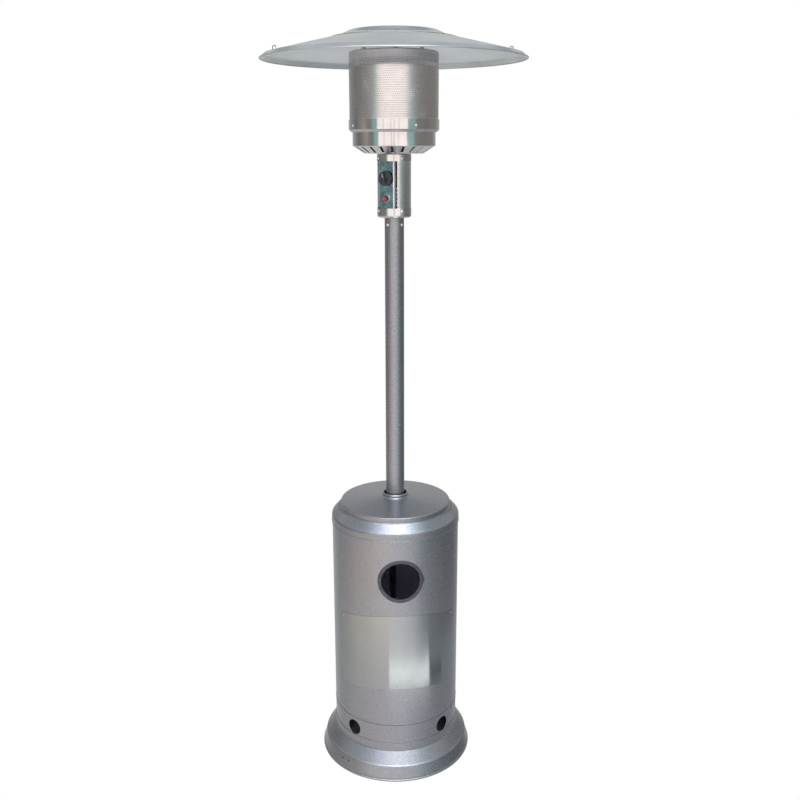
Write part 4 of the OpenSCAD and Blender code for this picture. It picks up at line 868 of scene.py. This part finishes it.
PLATE_WALLS = [(-180, (0.64, 0.66, 0.645)), (-125, (0.50, 0.51, 0.51)), (-93, (0.66, 0.66, 0.65)),
               (-76, (0.78, 0.78, 0.77)), (-46, (0.84, 0.84, 0.83)), (-19, (0.90, 0.90, 0.90)),
               (-6, (0.99, 0.99, 0.99)), (20, (0.95, 0.95, 0.95)), (34, (0.86, 0.86, 0.87)),
               (48, (0.74, 0.74, 0.75)), (63, (0.58, 0.58, 0.59)), (98, (0.48, 0.48, 0.49)),
               (130, (0.44, 0.44, 0.45)), (180, (0.64, 0.66, 0.645))]
ROOF_WALLS = [(-180, (0.67, 0.68, 0.67)), (-90, (0.66, 0.665, 0.66)), (90, (0.62, 0.63, 0.63)),
              (180, (0.67, 0.68, 0.67))]
LID_WALLS = [(-180, (0.18, 0.21, 0.25)), (-120, (0.34, 0.39, 0.42)), (-60, (0.60, 0.64, 0.70)),
             (60, (0.55, 0.64, 0.68)), (120, (0.38, 0.41, 0.45)), (180, (0.18, 0.21, 0.25))]
TOP_WALLS = [(-180, (0.20, 0.23, 0.27)), (-120, (0.34, 0.39, 0.42)), (-75, (0.50, 0.54, 0.60)),
             (-56, (1.10, 1.25, 1.5)), (-38, (2.2, 2.45, 2.9)), (-22, (3.5, 3.65, 4.2)), (0, (4.2, 4.3, 4.7)),
             (14, (4.2, 4.3, 4.7)), (28, (3.4, 3.8, 4.1)), (42, (1.8, 2.2, 2.4)), (56, (0.78, 1.2, 1.25)),
             (75, (0.36, 0.43, 0.49)), (120, (0.42, 0.45, 0.49)), (180, (0.20, 0.23, 0.27))]
CROWN_BACK = (0.62, 0.63, 0.62)
CROWN_WALLS = ([(-180, CROWN_BACK), (-150, CROWN_BACK)] + TOP_WALLS[1:-1]
               + [(150, CROWN_BACK), (180, CROWN_BACK)])
ZENITH_WALLS = [(-180, (0.55, 0.57, 0.59)), (180, (0.55, 0.57, 0.59))]
# Each level takes over from the one below between two heights, as sines of the angle over the horizon
LEVELS = [(-0.515, -0.495, PLATE_WALLS), (-0.475, -0.458, HOUSING_WALLS), (-0.38, -0.34, POST_WALLS),
          (-0.10, -0.08, SLEEVE_WALLS), (-0.006, 0.0, HEAD_WALLS), (0.027, 0.034, EMITTER_WALLS),
          (0.26, 0.36, ROOF_WALLS), (0.41, 0.45, LID_WALLS), (0.54, 0.60, TOP_WALLS),
          (0.63, 0.66, CROWN_WALLS), (0.96, 0.985, ZENITH_WALLS)]

scene = bpy.context.scene
world = bpy.data.worlds.new("studio")
scene.world = world
world.use_nodes = True
studio_tree = world.node_tree
studio_tree.nodes.clear()


def world_node(kind, **settings):
    """Node in the studio's tree, with the settings given."""
    node = studio_tree.nodes.new(kind)
    for key, value in settings.items():
        setattr(node, key, value)
    return node


def wall_ramp(walls, fac):
    """Colour by direction round the post, from one table of walls."""
    ramp = world_node("ShaderNodeValToRGB")
    studio_tree.links.new(fac, ramp.inputs[0])
    stops = ramp.color_ramp.elements
    while len(stops) > 1:
        stops.remove(stops[-1])
    stops[0].position = 0.0
    stops[0].color = (*walls[0][1], 1)
    for deg, colour in walls[1:]:
        stops.new((deg + 180) / 360).color = (*colour, 1)
    return ramp.outputs[0]


def blend(fac, a, b):
    """Colour a where fac is 0, b where it is 1."""
    node = world_node("ShaderNodeMix", data_type="RGBA")
    studio_tree.links.new(fac, node.inputs["Factor"])
    studio_tree.links.new(a, node.inputs[6])
    studio_tree.links.new(b, node.inputs[7])
    return node.outputs[2]


def rising(value, low, high):
    """0 at low to 1 at high."""
    node = world_node("ShaderNodeMapRange")
    node.inputs["From Min"].default_value = low
    node.inputs["From Max"].default_value = high
    studio_tree.links.new(value, node.inputs["Value"])
    return node.outputs[0]


direction = world_node("ShaderNodeSeparateXYZ")
studio_tree.links.new(world_node("ShaderNodeTexCoord").outputs["Generated"], direction.inputs[0])
front = world_node("ShaderNodeMath", operation="MULTIPLY")
front.inputs[1].default_value = -1
studio_tree.links.new(direction.outputs[1], front.inputs[0])
around = world_node("ShaderNodeMath", operation="ARCTAN2")
studio_tree.links.new(direction.outputs[0], around.inputs[0])
studio_tree.links.new(front.outputs[0], around.inputs[1])
share = rising(around.outputs[0], -math.pi, math.pi)
height = direction.outputs[2]
walls = wall_ramp(LOW_WALLS, share)
for low, high, level in LEVELS:
    walls = blend(rising(height, low, high), walls, wall_ramp(level, share))
studio = world_node("ShaderNodeBackground")
studio_tree.links.new(walls, studio.inputs["Color"])
white = world_node("ShaderNodeBackground")
white.inputs["Color"].default_value = (1, 1, 1, 1)
mixer = world_node("ShaderNodeMixShader")
studio_tree.links.new(world_node("ShaderNodeLightPath").outputs["Is Camera Ray"], mixer.inputs[0])
studio_tree.links.new(studio.outputs[0], mixer.inputs[1])
studio_tree.links.new(white.outputs[0], mixer.inputs[2])
studio_tree.links.new(mixer.outputs[0], world_node("ShaderNodeOutputWorld").inputs["Surface"])


def softbox(name, place, target, size, watts, colour):
    """Area lamp aimed at target, unseen in reflections."""
    data = bpy.data.lights.new(name, "AREA")
    data.shape = "RECTANGLE"
    data.size, data.size_y = size
    data.energy = watts
    data.color = colour
    obj = bpy.data.objects.new(name, data)
    bpy.context.scene.collection.objects.link(obj)
    d = Vector(target) - Vector(place)
    obj.matrix_world = Matrix.Translation(place) @ d.to_track_quat("-Z", "Y").to_matrix().to_4x4()
    obj.visible_glossy = False


softbox("key_left", (-2.6, -3.2, 3.4), (0, 0, 1.0), (1.6, 1.6), 40, (1.0, 0.98, 0.96))

scene.view_settings.view_transform = "Standard"
